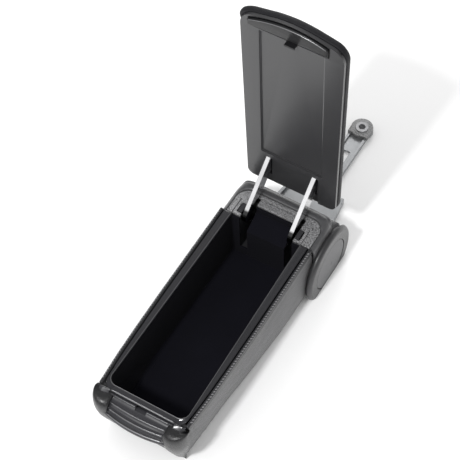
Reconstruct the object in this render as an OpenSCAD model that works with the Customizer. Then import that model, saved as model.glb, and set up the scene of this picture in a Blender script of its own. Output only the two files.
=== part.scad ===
// Car centre armrest with a storage bin, a cushioned lid on two swan-neck arms and a floor bracket.
// X is to the right, +Y to the rear and +Z up. The origin lies on the resting plane and the centre
// plane, just in front of the tilt axle. The lid is drawn open and the bracket laid flat.

/* [Box] */
// Height of the bin's rim above the resting plane
rim_z = 80; // [74:1:92]
// Length of the bin's mouth
bin_len = 276; // [230:2:310]
// Width of the bin's mouth at its front
bin_front_w = 96; // [86:1:100]
// Width of the bin's mouth at its rear
bin_rear_w = 88; // [82:1:94]
// Corner radius of the bin's mouth
bin_corner_r = 10; // [4:1:16]
// Depth of the bin's floor below the rim
bin_depth = 73; // [50:1:73]
// Wall of the bin liner
liner_t = 1.5; // [1.2:0.1:2]
// Wall of the moulded box shell
shell_t = 3; // [2:0.5:3.5]
// Thickness of the leatherette covers
cover_t = 2; // [1:0.5:3]
// Half width of the box over its covers, at the rim
body_half_w = 60; // [59:0.5:64]
// Radius of the covered lower edges
foot_r = 12; // [8:1:16]

/* [Rim and nose] */
// Width of the stitched edge roll around the rim
welt_w = 4.8; // [3.5:0.1:5]
// Thickness of the moulded rim trim
trim_t = 3; // [2:0.5:4]
// Width of the trim in front of the bin
trim_front_w = 8; // [6:0.5:12]
// How far the ribbed nose stands out in front of the trim, at its middle
nose_depth = 25; // [23:1:30]
// Half width of the ribbed recess between the cheeks
rib_half_w = 42; // [34:1:46]
// How far the nose's lip bows forward between the cheeks
lip_bow = 6; // [3:0.5:9]
// Half width of the nose over its cheeks
cheek_half_w = 58.5; // [58:0.5:63]
// Plan radius of the nose's cheeks
cheek_r = 16; // [12:1:18]

/* [Rear housing] */
// Height of the tilt axle above the resting plane
axle_z = 27; // [26:0.5:28]
// Radius of the tilt axle
axle_r = 7; // [6:0.5:7.5]
// Radius of the covered drum around the axle
drum_r = 45; // [43:0.5:46]
// Distance from the centre plane to the drum's left end
drum_left_w = 58.5; // [57:0.5:60]
// Distance from the centre plane to the drum's right end
drum_right_w = 63; // [63:0.5:66]
// Half width of the block that carries the axle, between the arm slots
core_half_w = 24.5; // [22:0.5:26]
// Width of each arm slot
slot_w = 9.9; // [8:0.1:12]
// Half width of the room for the bracket's hub inside the block
hub_room_half_w = 18.6; // [16:0.2:20]
// Width of the leather roll around the deck
roll_w = 6.5; // [5:0.5:8]

/* [End caps] */
// Radius of the flared cap on the right end
cap_r = 47.5; // [46:0.5:49]
// Thickness of the right cap
cap_t = 8; // [7:0.5:11]
// Rounding of the right cap's outer edge
cap_edge_r = 5; // [3:0.5:6]
// Radius of the disc set into the right cap
disc_r = 31.5; // [28:0.5:34]
// Radius of the low cap on the left end
low_cap_r = 24; // [20:0.5:24]
// Thickness of the low left cap
low_cap_t = 3; // [2.6:0.2:4]
// Radius of the disc set into the left cap
low_disc_r = 18.5; // [14:0.5:18.5]

/* [Lid] */
// Length of the lid
lid_len = 289.5; // [250:0.5:320]
// Half width of the lid at its rear
lid_rear_half_w = 58.5; // [54:0.5:62]
// Half width of the lid at its front
lid_front_half_w = 62.5; // [56:0.5:66]
// Overall thickness of the lid, at the crown of its cushion
lid_t = 24; // [22:0.5:28]
// Thickness of the lid at its edge
lid_edge_t = 14; // [13.5:0.5:16]
// Thickness of the lid's inner panel
panel_t = 4; // [3:0.5:5]
// Clearance between the closed lid and the rim
lid_gap = 0.8; // [0.7:0.1:1.5]
// Depth of the wide recess in the inner panel
recess_d = 2; // [1:0.5:2.5]
// Distance from the lid's rear edge to the step where the arms go in
step_in = 46; // [42:1:50]

/* [Arms] */
// Thickness of each arm
arm_t = 5; // [4:0.5:6]
// Depth of each arm's bar
arm_w = 19; // [14:0.5:20]
// Lean of the arm's bar above the horizontal, with the lid open
arm_lean = 40.3; // [36:0.1:44]
// Radius of the arm's pivot pin
pin_r = 3; // [2.5:0.5:4]
// Radius of the arm's eye
eye_r = 8; // [6.5:0.5:8.5]

/* [Bracket] */
// Thickness of the bracket's sheet
sheet_t = 3; // [2:0.5:3]
// Distance from the axle back to the foot's fixing hole
foot_y = 211; // [170:1:240]
// Sideways offset of the foot from the centre plane
foot_x = 3; // [0:1:10]
// Radius of the foot's rounded end
foot_end_r = 14; // [12:0.5:16]
// Radius of the foot's fixing hole
foot_bore_r = 4.2; // [3.2:0.1:5.2]
// Width of the bracket's plate over its ears
ear_span = 86; // [70:1:90]

/* [Hidden] */

// Clearances
fit = 0.3;
run = 0.05;
eps = 0.01;
big = 400;
$fn = 48;

// Places along the box
mouth_rear_y = 4;
block_front_y = -18;
mouth_front_y = mouth_rear_y - bin_len;
trim_front_y = mouth_front_y - trim_front_w;
shell_front_y = trim_front_y + 3.2;
shell_rear_y = block_front_y - 0.8;
housing_front_y = block_front_y - 0.5;
trim_z = rim_z - trim_t;
welt_foot_z = trim_z - fit;
liner_rear_y = block_front_y - 2.5;
floor_z = rim_z - bin_depth;
nose_front_y = trim_front_y - nose_depth;
cheek_out = 19;
cheek_inner_x = rib_half_w - 7;
skin = cover_t + fit;
turn_under = 6;
cover_lift = 0.4;
base_t = skin + cover_lift;
welt_rise = 0.3;
lip_rise = 0.4;

// Covered outline of the box: share of its length, narrowing at the rim, and flare at the foot
rim_narrowing = [[0, 3.5], [0.15, 1.4], [0.3, 0.5], [0.5, 0], [1, 0]];
foot_flare = [[0, -10.5], [0.15, -8.5], [0.3, -6.5], [0.5, -2], [0.7, 1.5], [0.85, 2.2], [1, 2.4]];
shares = [for (i = [0:14]) i / 14];

// Place of the tilt axle along the box
axle_y = 6;

// Pivot of the lid's arms, and the lid's places
lid_rear_y = block_front_y - 0.5;
lid_front_y = lid_rear_y - lid_len;
lid_z = rim_z + lid_gap;
hinge_y = 10.2;
hinge_z = rim_z + 0.4 - (hinge_y - lid_rear_y);
panel_top_z = lid_z + panel_t;
lid_top_z = lid_z + lid_t;
arm_x = core_half_w + slot_w / 2;
under_y = hinge_y + lid_z - hinge_z;
foot_flange_z = lid_z + 8.2;
flange_t = 2.3;
plate_t = 2;
lid_bow_r = 118;

// Elbow of the arms, and the far end of their bar, in the open position
elbow_y = -8.9;
elbow_z = rim_z - 5.2;
bar_len = 71;

// Latch
flap_pivot_y = trim_front_y - 6;
flap_pivot_z = lid_z + 3.6;
flap_half_w = 43;
claw_half_w = 6;
claw_t = 1.6;
claw_y = trim_front_y - 2.2;
claw_catch = 1;
claw_room = 4.6;
flap_t = 2.5;
latch_pin_r = 1.4;
latch_room_z = lid_z + 8;

// Bracket
hub_r = 13.5;
hub_half_w = 17.2;
washer_t = 1;
neck_t = 4;
neck_x = 8;
plate_half_w = 18;
plate_front_y = axle_y - 9;
ear_rear_y = 106;
ear_front_y = 58;
ear_h = 7.5;
pad_h = 8;

// Signed side of a piece: -1 is left and 1 is right
LEFT = -1;
RIGHT = 1;

// Shared shapes

// Solid through a row of rings, each running clockwise as seen from the ring before it
module loft(rings) {
    m = len(rings[0]);
    n = len(rings);
    points = [for (ring = rings) each ring];
    sides = [
        for (i = [0:n - 2], j = [0:m - 1], half = [0, 1])
            half == 0
                ? [(i + 1) * m + j, i * m + (j + 1) % m, i * m + j]
                : [(i + 1) * m + j, (i + 1) * m + (j + 1) % m, i * m + (j + 1) % m]
    ];
    first = [for (j = [0:m - 1]) j];
    last = [for (j = [m - 1:-1:0]) (n - 1) * m + j];
    polyhedron(points = points, faces = concat([first], sides, [last]), convexity = 8);
}

// Profile drawn as [y, z] and given a width along X, centred on x
module across(x, width) {
    translate([x - width / 2, 0, 0])
        rotate([90, 0, 90])
            linear_extrude(width)
                children();
}

// Cylinder along X, centred on [x, y, z]
module x_cylinder(r, width, x, y, z) {
    translate([x - width / 2, y, z])
        rotate([0, 90, 0])
            cylinder(r = r, h = width);
}

// Bar with parallel sides between two points of a profile
module bar(p, q, w) {
    d = q - p;
    translate(p)
        rotate(atan2(d.y, d.x))
            translate([0, -w / 2])
                square([norm(d), w]);
}

// Points of an arc, from one angle to another
function arc(c, r, a0, a1, n = 8) =
    [for (i = [0:n]) let (a = a0 + (a1 - a0) * i / n) c + r * [cos(a), sin(a)]];

function flip_x(points) = [for (i = [len(points) - 1:-1:0]) [-points[i].x, points[i].y]];

// Box outline

function body_y(share) = shell_front_y + share * (shell_rear_y - shell_front_y);
function rim_half(share, inset) = body_half_w - lookup(share, rim_narrowing) - inset;
function foot_half(share, inset) = body_half_w + lookup(share, foot_flare) - inset;

// Right flank as [x, z] points, from the rim down and round under the foot
function flank(share, inset, top_z) =
    let (c = [foot_half(share, inset) - foot_r + inset, foot_r + cover_lift])
    concat(
        [[rim_half(share, inset), top_z]],
        [for (t = [0.25, 0.5, 0.75])
            [rim_half(share, inset) * (1 - t) + foot_half(share, inset) * t + 1.2 * sin(180 * t),
             top_z * (1 - t) + c.y * t]],
        arc(c, foot_r - inset, 0, -90, 6)
    );

// The same flank with the leather's turned edge
function leather_flank(share, inset, top_z) =
    let (side = flank(share, inset, top_z))
    concat(side, [side[len(side) - 1] - [turn_under, 0]]);

function ring_at(points, share) = [for (p = points) [p.x, body_y(share), p.y]];

// Whole cross sections of the box, inset from the covered outline
function body_rings(inset, top_z) = [
    for (s = shares)
        let (side = flank(s, inset, top_z))
        ring_at(concat(flip_x(side), side), s)
];

// Outline of the bin's mouth, grown outwards
module mouth_outline(grow, rear_y) {
    r = bin_corner_r + grow;
    fx = bin_front_w / 2 + grow;
    rx = bin_rear_w / 2 + grow;
    fy = mouth_front_y - grow;
    right = concat(arc([fx - r, fy + r], r, -90, 0, 10), [[rx, rear_y]]);
    polygon(concat(right, flip_x(right)));
}

// Box pieces

module box_shell() {
    inner = skin + shell_t;
    color([0.09, 0.09, 0.1])
    difference() {
        loft(body_rings(skin, trim_z - fit));
        intersection() {
            loft(body_rings(inner, trim_z + 1));
            translate([-big / 2, shell_front_y + shell_t, 0])
                cube([big, big, big]);
        }
        translate([0, 0, trim_z - 8])
            linear_extrude(20)
                mouth_outline(liner_t + 2 * fit, shell_rear_y + 1);
        base_recess();
        for (p = screw_places())
            translate([p.x, p.y, 1])
                cylinder(r = 1.6, h = inner);
    }
}

// Fixing places of the base panel
function screw_places() =
    [for (x = [-18, 18], y = [shell_front_y + 25, shell_rear_y - 25]) [x, y]];

base_half_w = 30;

module base_outline(grow) {
    x = base_half_w + grow;
    y0 = shell_front_y + 12 - grow;
    y1 = shell_rear_y - 8 + grow;
    translate([-x, y0])
        square([2 * x, y1 - y0]);
}

module base_recess() {
    translate([0, 0, -1])
        linear_extrude(1 + base_t + fit)
            base_outline(fit);
}

module base_panel() {
    color([0.12, 0.12, 0.13])
    difference() {
        linear_extrude(base_t)
            base_outline(0);
        for (p = screw_places()) {
            translate([p.x, p.y, -1])
                cylinder(r = 1.8, h = 10);
            translate([p.x, p.y, -1])
                cylinder(r = 4, h = 2.2);
        }
    }
}

module base_screws() {
    color([0.5, 0.5, 0.52])
    for (p = screw_places())
        translate([p.x, p.y, 0])
            union() {
                translate([0, 0, 0.4])
                    cylinder(r = 3.6, h = 0.8);
                translate([0, 0, 1])
                    cylinder(r = 1.6, h = skin + shell_t - 1);
            }
}

// Block under the bin's mouth that keeps clear of the shell's flanks
module bin_block(grow, floor, top) {
    intersection() {
        translate([0, 0, floor])
            linear_extrude(top - floor)
                mouth_outline(grow, liner_rear_y + grow);
        loft(body_rings(skin + shell_t + fit + liner_t - grow, trim_z + 10));
    }
}

module bin_liner() {
    color([0.03, 0.03, 0.035])
    difference() {
        union() {
            bin_block(liner_t, floor_z - liner_t, trim_z - fit);
            across(0, 2 * core_half_w)
                ramp_profile(liner_t);
        }
        bin_block(0, floor_z, rim_z + 2);
        across(0, 2 * core_half_w + 1)
            ramp_profile(0);
        for (side = [LEFT, RIGHT])
            translate([side * arm_x - slot_w / 2, liner_rear_y - 1, 20])
                cube([slot_w, 60, rim_z]);
    }
}

// Sloped shelf of the liner over the axle, between the arms
module ramp_profile(grow) {
    polygon([
        [liner_rear_y - 2, trim_z - fit + (grow > 0 ? 0 : 5)],
        [liner_rear_y - 2, 58 - grow],
        [liner_rear_y, 58 - grow],
        [mouth_rear_y - 0.5 - liner_t + grow, rim_z - 11 - grow],
        [mouth_rear_y - 0.5 - liner_t + grow, trim_z - fit + (grow > 0 ? 0 : 5)]
    ]);
}

// Leather over one flank, turned under the base
module side_cover(side) {
    color([0.14, 0.14, 0.15])
    loft([
        for (s = side == RIGHT ? shares : [for (i = [len(shares) - 1:-1:0]) shares[i]])
            let (outer = leather_flank(s, 0, welt_foot_z), inner = leather_flank(s, cover_t, welt_foot_z))
            let (ring = concat(outer, [for (i = [len(inner) - 1:-1:0]) inner[i]]))
            [for (p = ring) [side * p.x, body_y(s), p.y]]
    ]);
}

module side_cover_left() {
    side_cover(LEFT);
}

module side_cover_right() {
    side_cover(RIGHT);
}

// Plan of the rim between two insets, as points down the right side
function rim_line(inset, y0, y1) = [
    for (s = shares)
        let (y = body_y(s))
        if (y > y0 && y < y1) [rim_half(s, inset), y]
];

module rim_trim() {
    groove = welt_w + 0.8;
    r = 12;
    fx = rim_half(0, groove);
    right = concat(
        arc([fx - r, trim_front_y + r], r, -90, -8, 8),
        rim_line(groove, trim_front_y + r + 4, block_front_y - 6),
        [[rim_half(1, groove), block_front_y - 0.5]]
    );
    color([0.13, 0.13, 0.14])
    difference() {
        union() {
            translate([0, 0, trim_z])
                linear_extrude(trim_t)
                    polygon(concat(right, flip_x(right)));
            translate([0, 0, trim_z])
                linear_extrude(trim_t + lip_rise)
                    intersection() {
                        mouth_outline(1.6, block_front_y - 0.5);
                        polygon(concat(right, flip_x(right)));
                    }
        }
        translate([0, 0, trim_z - 1])
            linear_extrude(trim_t + 3)
                mouth_outline(0, block_front_y + 5);
    }
}

// Stitched roll along one side of the rim
module rim_welt(side) {
    r = welt_w / 2;
    color([0.1, 0.1, 0.11])
    loft([
        for (s = side == RIGHT ? shares : [for (i = [len(shares) - 1:-1:0]) shares[i]])
            let (c = [rim_half(s, welt_w / 2), rim_z - r + welt_rise])
            let (ring = concat(arc(c, r, 180, 0, 8), [[c.x + r, welt_foot_z], [c.x - r, welt_foot_z]]))
            [for (p = ring) [side * p.x, body_y(s), p.y]]
    ]);
}

module rim_welt_left() {
    rim_welt(LEFT);
}

module rim_welt_right() {
    rim_welt(RIGHT);
}

// Height at which the nose meets the trim's edge, and the edges of its ribs as [depth, z] below it
rib_edges = [[1.4, 77], [7.8, 73], [12, 68], [nose_depth - lip_bow - 3.5, 62]];

// Share of the lip's bow that a point of the nose has, from none at the trim to all at the lip
function bow_share(depth) = min(1, max(0, depth / rib_edges[3].x));

// Section of the ribbed middle as [distance in front of the trim, z] points
function rib_section() =
    let (lip = rib_edges[3], back = -2.8)
    concat(
        [[back, trim_z - 7], [-0.3, trim_z - 7], [-0.3, rib_edges[0].y]],
        [for (i = [0:2]) each flute(rib_edges[i], rib_edges[i + 1])],
        arc([lip.x - 1, lip.y - 3.2], 3.4, 62, -40, 6),
        [[lip.x - 5, lip.y - 12], [lip.x * 0.2, lip.y - 25], [-0.6, lip.y - 38], [back, lip.y - 38]]
    );

// Hollow between two rib edges, with a bead on the lower edge
function flute(p, q) = [
    p,
    p + [0.9, -0.4],
    p * 0.72 + q * 0.28 + [-0.9, -1.3],
    p * 0.3 + q * 0.7 + [-0.9, -1.1],
    q + [-0.8, 0.2]
];

module nose_middle() {
    stations = 14;
    section = rib_section();
    loft([
        for (i = [0:stations])
            let (x = rib_half_w * (2 * i / stations - 1), round_off = 1 - pow(x / rib_half_w, 2))
            [for (p = section) [x, trim_front_y - p.x - lip_bow * bow_share(p.x) * round_off, p.y]]
    ]);
}

module cheek() {
    x = cheek_half_w - cheek_r;
    y = trim_front_y - cheek_out + cheek_r;
    intersection() {
        hull() {
            translate([x, y, rim_z - 20])
                cylinder(r = cheek_r, h = 8, $fn = 40);
            translate([x, y, rim_z - 8])
                cylinder(r = cheek_r - 1.5, h = 1, $fn = 32);
            translate([x, y + 1, rim_z - 4])
                cylinder(r = cheek_r - 5, h = 1, $fn = 32);
            translate([x, y + 3, rim_z - 2])
                cylinder(r = cheek_r - 9, h = 1, $fn = 32);
            translate([x - 2, y + 8, rim_z - 36])
                cylinder(r = cheek_r - 2, h = 1, $fn = 32);
            translate([x - 9, y + 18, 6])
                cylinder(r = cheek_r - 6, h = 1, $fn = 32);
        }
        translate([cheek_inner_x, nose_front_y - 5, 0])
            cube([big, shell_front_y - fit - nose_front_y + 5, rim_z]);
    }
}

module front_nose() {
    color([0.11, 0.11, 0.12])
    difference() {
        union() {
            nose_middle();
            cheek();
            mirror([1, 0, 0])
                cheek();
        }
        translate([-big / 2, trim_front_y - fit, trim_z - fit])
            cube([big, 60, 20]);
        translate([-claw_half_w - 0.6, trim_front_y - claw_room, rib_edges[0].y - 4])
            cube([2 * claw_half_w + 1.2, claw_room + 2, 10]);
    }
}

// Rear housing and its covers

corner_r = 17.5;
corner_y = 20;
corner_z = rim_z - 15.5;
deck_rear_y = 19;
rear_top_y = 37.5;
drum_foot_z = 1;
slot_floor_z = axle_z - axle_r - 3;
drum_top_z = 61;
shoulder_r = 13;

// Distance of the drum's end from the centre plane, on either side
function end_x(side) = side > 0 ? drum_right_w : drum_left_w;

// Side profile of the rear end: the drum and the fuller edge above it
module rear_profile(inset) {
    c1 = [axle_y, axle_z];
    c2 = [corner_y, corner_z];
    r1 = drum_r - inset;
    r2 = corner_r - inset;
    span = c2 - c1;
    turn = acos((r1 - r2) / norm(span));
    lean = atan2(span.y, span.x);
    low = [cos(lean - turn), sin(lean - turn)];
    high = [cos(lean + turn), sin(lean + turn)];
    translate(c1)
        circle(r = r1, $fn = 96);
    translate(c2)
        circle(r = r2, $fn = 64);
    polygon([c1, c1 + r1 * low, c2 + r2 * low, c2 + r2 * high, c1 + r1 * high]);
}

// Plan of the upper rear end, inset from its ends, with round corners between a front and a rear line
module rear_plan(inset, front_y, rear_y, r) {
    left = drum_left_w - inset;
    right = drum_right_w - inset;
    translate([-left, front_y])
        square([left + right, rear_y - r - front_y]);
    translate([-left + r, front_y])
        square([left + right - 2 * r, rear_y - front_y]);
    for (x = [-left + r, right - r])
        translate([x, rear_y - r])
            circle(r = r, $fn = 64);
}

// Whole rear end in side view, flat along its foot and full up to its front
module rear_side(inset, front_y) {
    intersection() {
        union() {
            rear_profile(inset);
            translate([front_y, 0])
                square([corner_y - front_y, corner_z + corner_r - inset]);
        }
        translate([-big / 2, drum_foot_z + inset])
            square([big, big]);
    }
}

// Section across the rear end, with its round shoulders
module shoulder_section(inset) {
    r = shoulder_r - inset;
    left = drum_left_w - inset;
    right = drum_right_w - inset;
    top = corner_z + corner_r - inset;
    translate([-left, -1])
        square([left + right, top - r + 1]);
    translate([-left + r, -1])
        square([left + right - 2 * r, top + 1]);
    for (x = [-left + r, right - r])
        translate([x, top - r])
            circle(r = r, $fn = 64);
}

// Whole rear end, inset from its covered outline; its corners are round above the drum's shoulder
module rear_form(inset, top_z, front_y) {
    shoulder_z = drum_top_z - inset;
    intersection() {
        translate([(drum_right_w - drum_left_w) / 2, 0, 0])
            across(0, drum_left_w + drum_right_w - 2 * inset)
                rear_side(inset, front_y);
        translate([0, big / 2, 0])
            rotate([90, 0, 0])
                linear_extrude(big)
                    shoulder_section(inset);
        union() {
            translate([-big / 2, front_y, 0])
                cube([big, big, shoulder_z]);
            translate([0, 0, shoulder_z - 1])
                linear_extrude(top_z - shoulder_z + 1)
                    rear_plan(inset, front_y, rear_top_y - inset, 22 - inset);
        }
    }
}

// Room for the bracket's hub and neck over the whole tilt
module hub_room(half_w) {
    across(0, 2 * half_w)
        translate([axle_y, axle_z]) {
            circle(r = hub_r + 1.5);
            polygon([[-10.5, 0], [-10.5, -60], [90, -60], [90, 26], [38, 23.5], [15, 12], [0, 12]]);
        }
}

module arm_slots(width, rear_y) {
    for (side = [LEFT, RIGHT])
        translate([side * arm_x - width / 2, housing_front_y - 10, slot_floor_z])
            cube([width, rear_y - housing_front_y + 10, rim_z]);
}

// Centre line points of the arm in its profile
function elbow() = [elbow_y, elbow_z];
function bar_dir() = [cos(arm_lean), sin(arm_lean)];
function pivot() = [hinge_y, hinge_z];

function stop_place() = elbow() + 12 * bar_dir() + (arm_w / 2 + stop_r + fit) * [bar_dir().y, -bar_dir().x];
stop_r = 3.5;

module hinge_housing() {
    color([0.08, 0.08, 0.09])
    difference() {
        rear_form(skin, trim_z - fit, housing_front_y);
        hub_room(hub_room_half_w);
        x_cylinder(axle_r + run, 2 * core_half_w + 4, 0, axle_y, axle_z);
        arm_slots(slot_w, hinge_y + eye_r + 1);
        across(0, 2 * (core_half_w + slot_w))
            polygon([
                [housing_front_y - 1, 57 - liner_t], [housing_front_y - 1, rim_z],
                [mouth_rear_y, rim_z], [mouth_rear_y, rim_z - 12 - liner_t - fit]
            ]);
        for (side = [LEFT, RIGHT]) {
            x_cylinder(pin_r + run, slot_w + 12, side * arm_x, hinge_y, hinge_z);
            x_cylinder(stop_r + run, slot_w + 4, side * arm_x, stop_place().x, stop_place().y);
            x_cylinder(2.1, 16, side * (end_x(side) - 8), axle_y, axle_z);
        }
        for (side = [LEFT, RIGHT])
            translate([side * (end_x(side) - skin - 12), axle_y, axle_z])
                rotate([0, side * 90, 0])
                    difference() {
                        cylinder(r = axle_z - drum_foot_z - skin - 3, h = 20);
                        cylinder(r = cap_boss_r, h = 20);
                    }
    }
}

module rear_cover() {
    color([0.13, 0.13, 0.14])
    difference() {
        union() {
            rear_form(0, trim_z + 5.5, housing_front_y + 0.2);
        }
        rear_form(cover_t, trim_z, housing_front_y - 5);
        hub_room(hub_room_half_w);
        arm_slots(slot_w, hinge_y + eye_r + 1);
        translate([0, 0, trim_z - eps])
            linear_extrude(20)
                rear_plan(roll_w, housing_front_y - 1, deck_rear_y, 16);
        translate([-core_half_w - slot_w, housing_front_y - 1, 50])
            cube([2 * (core_half_w + slot_w), mouth_rear_y - housing_front_y + 1, 60]);
        x_cylinder(cap_boss_r + 1, big, 0, axle_y, axle_z);
    }
}

module rear_deck() {
    color([0.26, 0.26, 0.27])
    difference() {
        translate([0, 0, trim_z])
            linear_extrude(trim_t)
                rear_plan(roll_w + fit, block_front_y, deck_rear_y - fit, 16 - fit);
        translate([-core_half_w - slot_w, block_front_y - 1, trim_z - 1])
            cube([2 * (core_half_w + slot_w), mouth_rear_y - block_front_y + 1, 10]);
        arm_slots(slot_w, 14);
        translate([-core_half_w, 13, rim_z - 1.6])
            cube([2 * core_half_w, 2.2, 5]);
        for (side = [LEFT, RIGHT])
            translate([side * block_place() - 3.4, block_y - fit, trim_z - 1])
                cube([6.8, block_len + 2 * fit, 10]);
    }
}

block_y = -14;
block_len = 12.8;

// Middle of the small block beside each arm slot
function block_place() = core_half_w + slot_w + 3.4;

module pivot_block(side) {
    color([0.16, 0.16, 0.17])
    translate([side * block_place() - side * 0.6 - 2.6, block_y, trim_z - fit])
        cube([5.2, block_len, trim_t + fit + 1]);
}

module pivot_block_left() {
    pivot_block(LEFT);
}

module pivot_block_right() {
    pivot_block(RIGHT);
}

module arm_stop(side) {
    color([0.05, 0.05, 0.05])
    x_cylinder(stop_r, slot_w + 3.6, side * arm_x, stop_place().x, stop_place().y);
}

module arm_stop_left() {
    arm_stop(LEFT);
}

module arm_stop_right() {
    arm_stop(RIGHT);
}

module hinge_pin(side) {
    color([0.7, 0.7, 0.72])
    x_cylinder(pin_r, slot_w + 11.6, side * arm_x, hinge_y, hinge_z);
}

module hinge_pin_left() {
    hinge_pin(LEFT);
}

module hinge_pin_right() {
    hinge_pin(RIGHT);
}

clip_x = core_half_w + 0.1;
clip_t = 0.9;

module tilt_axle() {
    color([0.6, 0.6, 0.62])
    difference() {
        x_cylinder(axle_r, 2 * (clip_x + clip_t + 0.6), 0, axle_y, axle_z);
        for (side = [LEFT, RIGHT])
            translate([side * (clip_x + clip_t / 2), axle_y, axle_z])
                rotate([0, 90, 0])
                    difference() {
                        cylinder(r = axle_r + 2, h = clip_t + run, center = true);
                        cylinder(r = axle_r - 1, h = 4, center = true);
                    }
    }
}

module axle_clips() {
    color([0.3, 0.3, 0.32])
    for (side = [LEFT, RIGHT])
        translate([side * (clip_x + clip_t / 2), axle_y, axle_z])
            rotate([0, 90, 0])
                difference() {
                    cylinder(r = axle_r + 1.8, h = clip_t, center = true);
                    cylinder(r = axle_r - 1 + run, h = 4, center = true);
                }
}

// End caps

cap_wall = 2.2;
cap_ring_w = 4;
cap_flare = 2.5;
cap_foot_z = 0.5;
disc_t = 2.2;
disc_drop = 0.5;
low_disc_t = 0.9;
cap_boss_r = 9;
cap_bore_r = 2.3;
cap_screw_r = 2;

function cap_depth(side) = side > 0 ? cap_t : low_cap_t;
function cap_seat(side) = cap_depth(side) + fit + skin;
function disc_depth(side) = side > 0 ? disc_t + disc_drop : low_disc_t + disc_drop;

// Section of the flared cap as [radius, depth from its outer face] points
function cap_section() =
    let (ceiling = disc_t + disc_drop + cap_wall, base_r = cap_r - cap_flare, seat = cap_seat(RIGHT))
    concat(
        [[0, 0]],
        arc([cap_r - cap_edge_r, cap_edge_r], cap_edge_r, -90, 0, 10),
        [
            [base_r, cap_t], [base_r - cap_ring_w, cap_t], [base_r - cap_ring_w, ceiling],
            [cap_boss_r, ceiling], [cap_boss_r, seat], [0, seat]
        ]
    );

// Section of the low cap, with the seat of its disc
function low_cap_section() =
    let (seat = cap_seat(LEFT), rest = disc_depth(LEFT), wall_r = low_disc_r + 0.4)
    concat(
        [[0, rest], [wall_r, rest], [wall_r, 0.5], [wall_r + 0.6, 0]],
        arc([low_cap_r - 2, 2], 2, -90, 0, 6),
        [[low_cap_r, low_cap_t], [cap_boss_r, low_cap_t], [cap_boss_r, seat], [0, seat]]
    );

module on_cap(side) {
    translate([side * (end_x(side) + fit + cap_depth(side)), axle_y, axle_z])
        rotate([0, -side * 90, 0])
            children();
}

module cap_bore(side) {
    on_cap(side)
        translate([0, 0, -1])
            cylinder(r = cap_bore_r, h = cap_seat(side) + 3);
}

// All that lies above a level
module above(z) {
    translate([-big / 2, -big / 2, z])
        cube(big);
}

module end_cap_left() {
    color([0.15, 0.15, 0.16])
    difference() {
        on_cap(LEFT)
            rotate_extrude($fn = 120)
                polygon(low_cap_section());
        cap_bore(LEFT);
    }
}

module end_cap_right() {
    color([0.15, 0.15, 0.16])
    difference() {
        intersection() {
            on_cap(RIGHT)
                rotate_extrude($fn = 120)
                    polygon(cap_section());
            above(cap_foot_z);
        }
        intersection() {
            on_cap(RIGHT)
                translate([0, 0, -1])
                    cylinder(r = disc_r + 0.6, h = 1 + disc_t + disc_drop, $fn = 96);
            above(cap_foot_z + cap_wall);
        }
        cap_bore(RIGHT);
    }
}

module cap_disc_left() {
    color([0.24, 0.24, 0.25])
    on_cap(LEFT)
        translate([0, 0, disc_drop - 0.1])
            cylinder(r = low_disc_r, h = low_disc_t);
}

// Disc with a softened edge and a low crown, flat along the cap's foot
module cap_disc_right() {
    color([0.24, 0.24, 0.25])
    intersection() {
        on_cap(RIGHT)
            rotate_extrude($fn = 120)
                polygon(concat(
                    [[0, disc_t + 0.3], [disc_r, disc_t + 0.3]],
                    arc([disc_r - 1, 1.2], 1, 0, -90, 4),
                    [[0, -0.4]]
                ));
        above(cap_foot_z + cap_wall + fit);
    }
}

module cap_screws() {
    color([0.55, 0.55, 0.57])
    for (side = [LEFT, RIGHT])
        on_cap(side)
            translate([0, 0, disc_depth(side) + 0.1])
                cylinder(r = cap_screw_r, h = cap_seat(side) + 7 - disc_depth(side));
}

// Lid, drawn closed and then swung open about its pins

module opened() {
    translate([0, hinge_y, hinge_z])
        rotate([-90, 0, 0])
            translate([0, -hinge_y, -hinge_z])
                children();
}

// Outline of the lid in plan, inset from its edge
function lid_points(inset) =
    let (
        rr = max(9 - inset / 2, 2),
        fr = 20 - inset / 2,
        rx = lid_rear_half_w - inset,
        fx = lid_front_half_w - inset,
        ry = lid_rear_y - inset,
        shoulder_y = lid_front_y + 9 + inset,
        right = concat(
            [for (x = [0, 10, 20, 30])
                [x, lid_front_y + inset + x * x / (2 * lid_bow_r)]],
            arc([fx - fr, shoulder_y + fr - 2], fr, -75, 0, 10),
            arc([rx - rr, ry - rr], rr, 0, 90, 6)
        )
    )
    concat(right, [for (i = [len(right) - 1:-1:1]) [-right[i].x, right[i].y]]);

module lid_outline(inset) {
    polygon(lid_points(inset));
}

function lid_y(from_rear) = lid_rear_y - from_rear;

module panel_recess() {
    x = 39;
    for (step = [[0, 0], [1, 1.5]])
        translate([0, 0, lid_z - 1 + step.x * recess_d / 2])
            linear_extrude(1 + recess_d / 2)
                translate([-x + step.y, lid_y(262 - step.y)])
                    square([2 * (x - step.y), 262 - step_in - 8 - 2 * step.y]);
    translate([-35, lid_y(step_in), lid_z - 1])
        cube([70, step_in + 10, 1 + recess_d]);
}

module arm_openings(width) {
    for (side = [LEFT, RIGHT])
        translate([side * arm_x - width / 2, lid_y(step_in), lid_z - 1])
            cube([width, step_in - 14, 30]);
}

module flap_room() {
    translate([0, 0, lid_z - 1])
        linear_extrude(latch_room_z - lid_z + 1)
            intersection() {
                lid_outline(5.8);
                union() {
                    translate([-flap_half_w - 0.7, lid_front_y])
                        square([2 * flap_half_w + 1.4, flap_pivot_y + 3.2 - lid_front_y]);
                    translate([-claw_half_w - 0.6, flap_pivot_y])
                        square([2 * claw_half_w + 1.2, trim_front_y + 3 - flap_pivot_y]);
                }
            }
}

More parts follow.
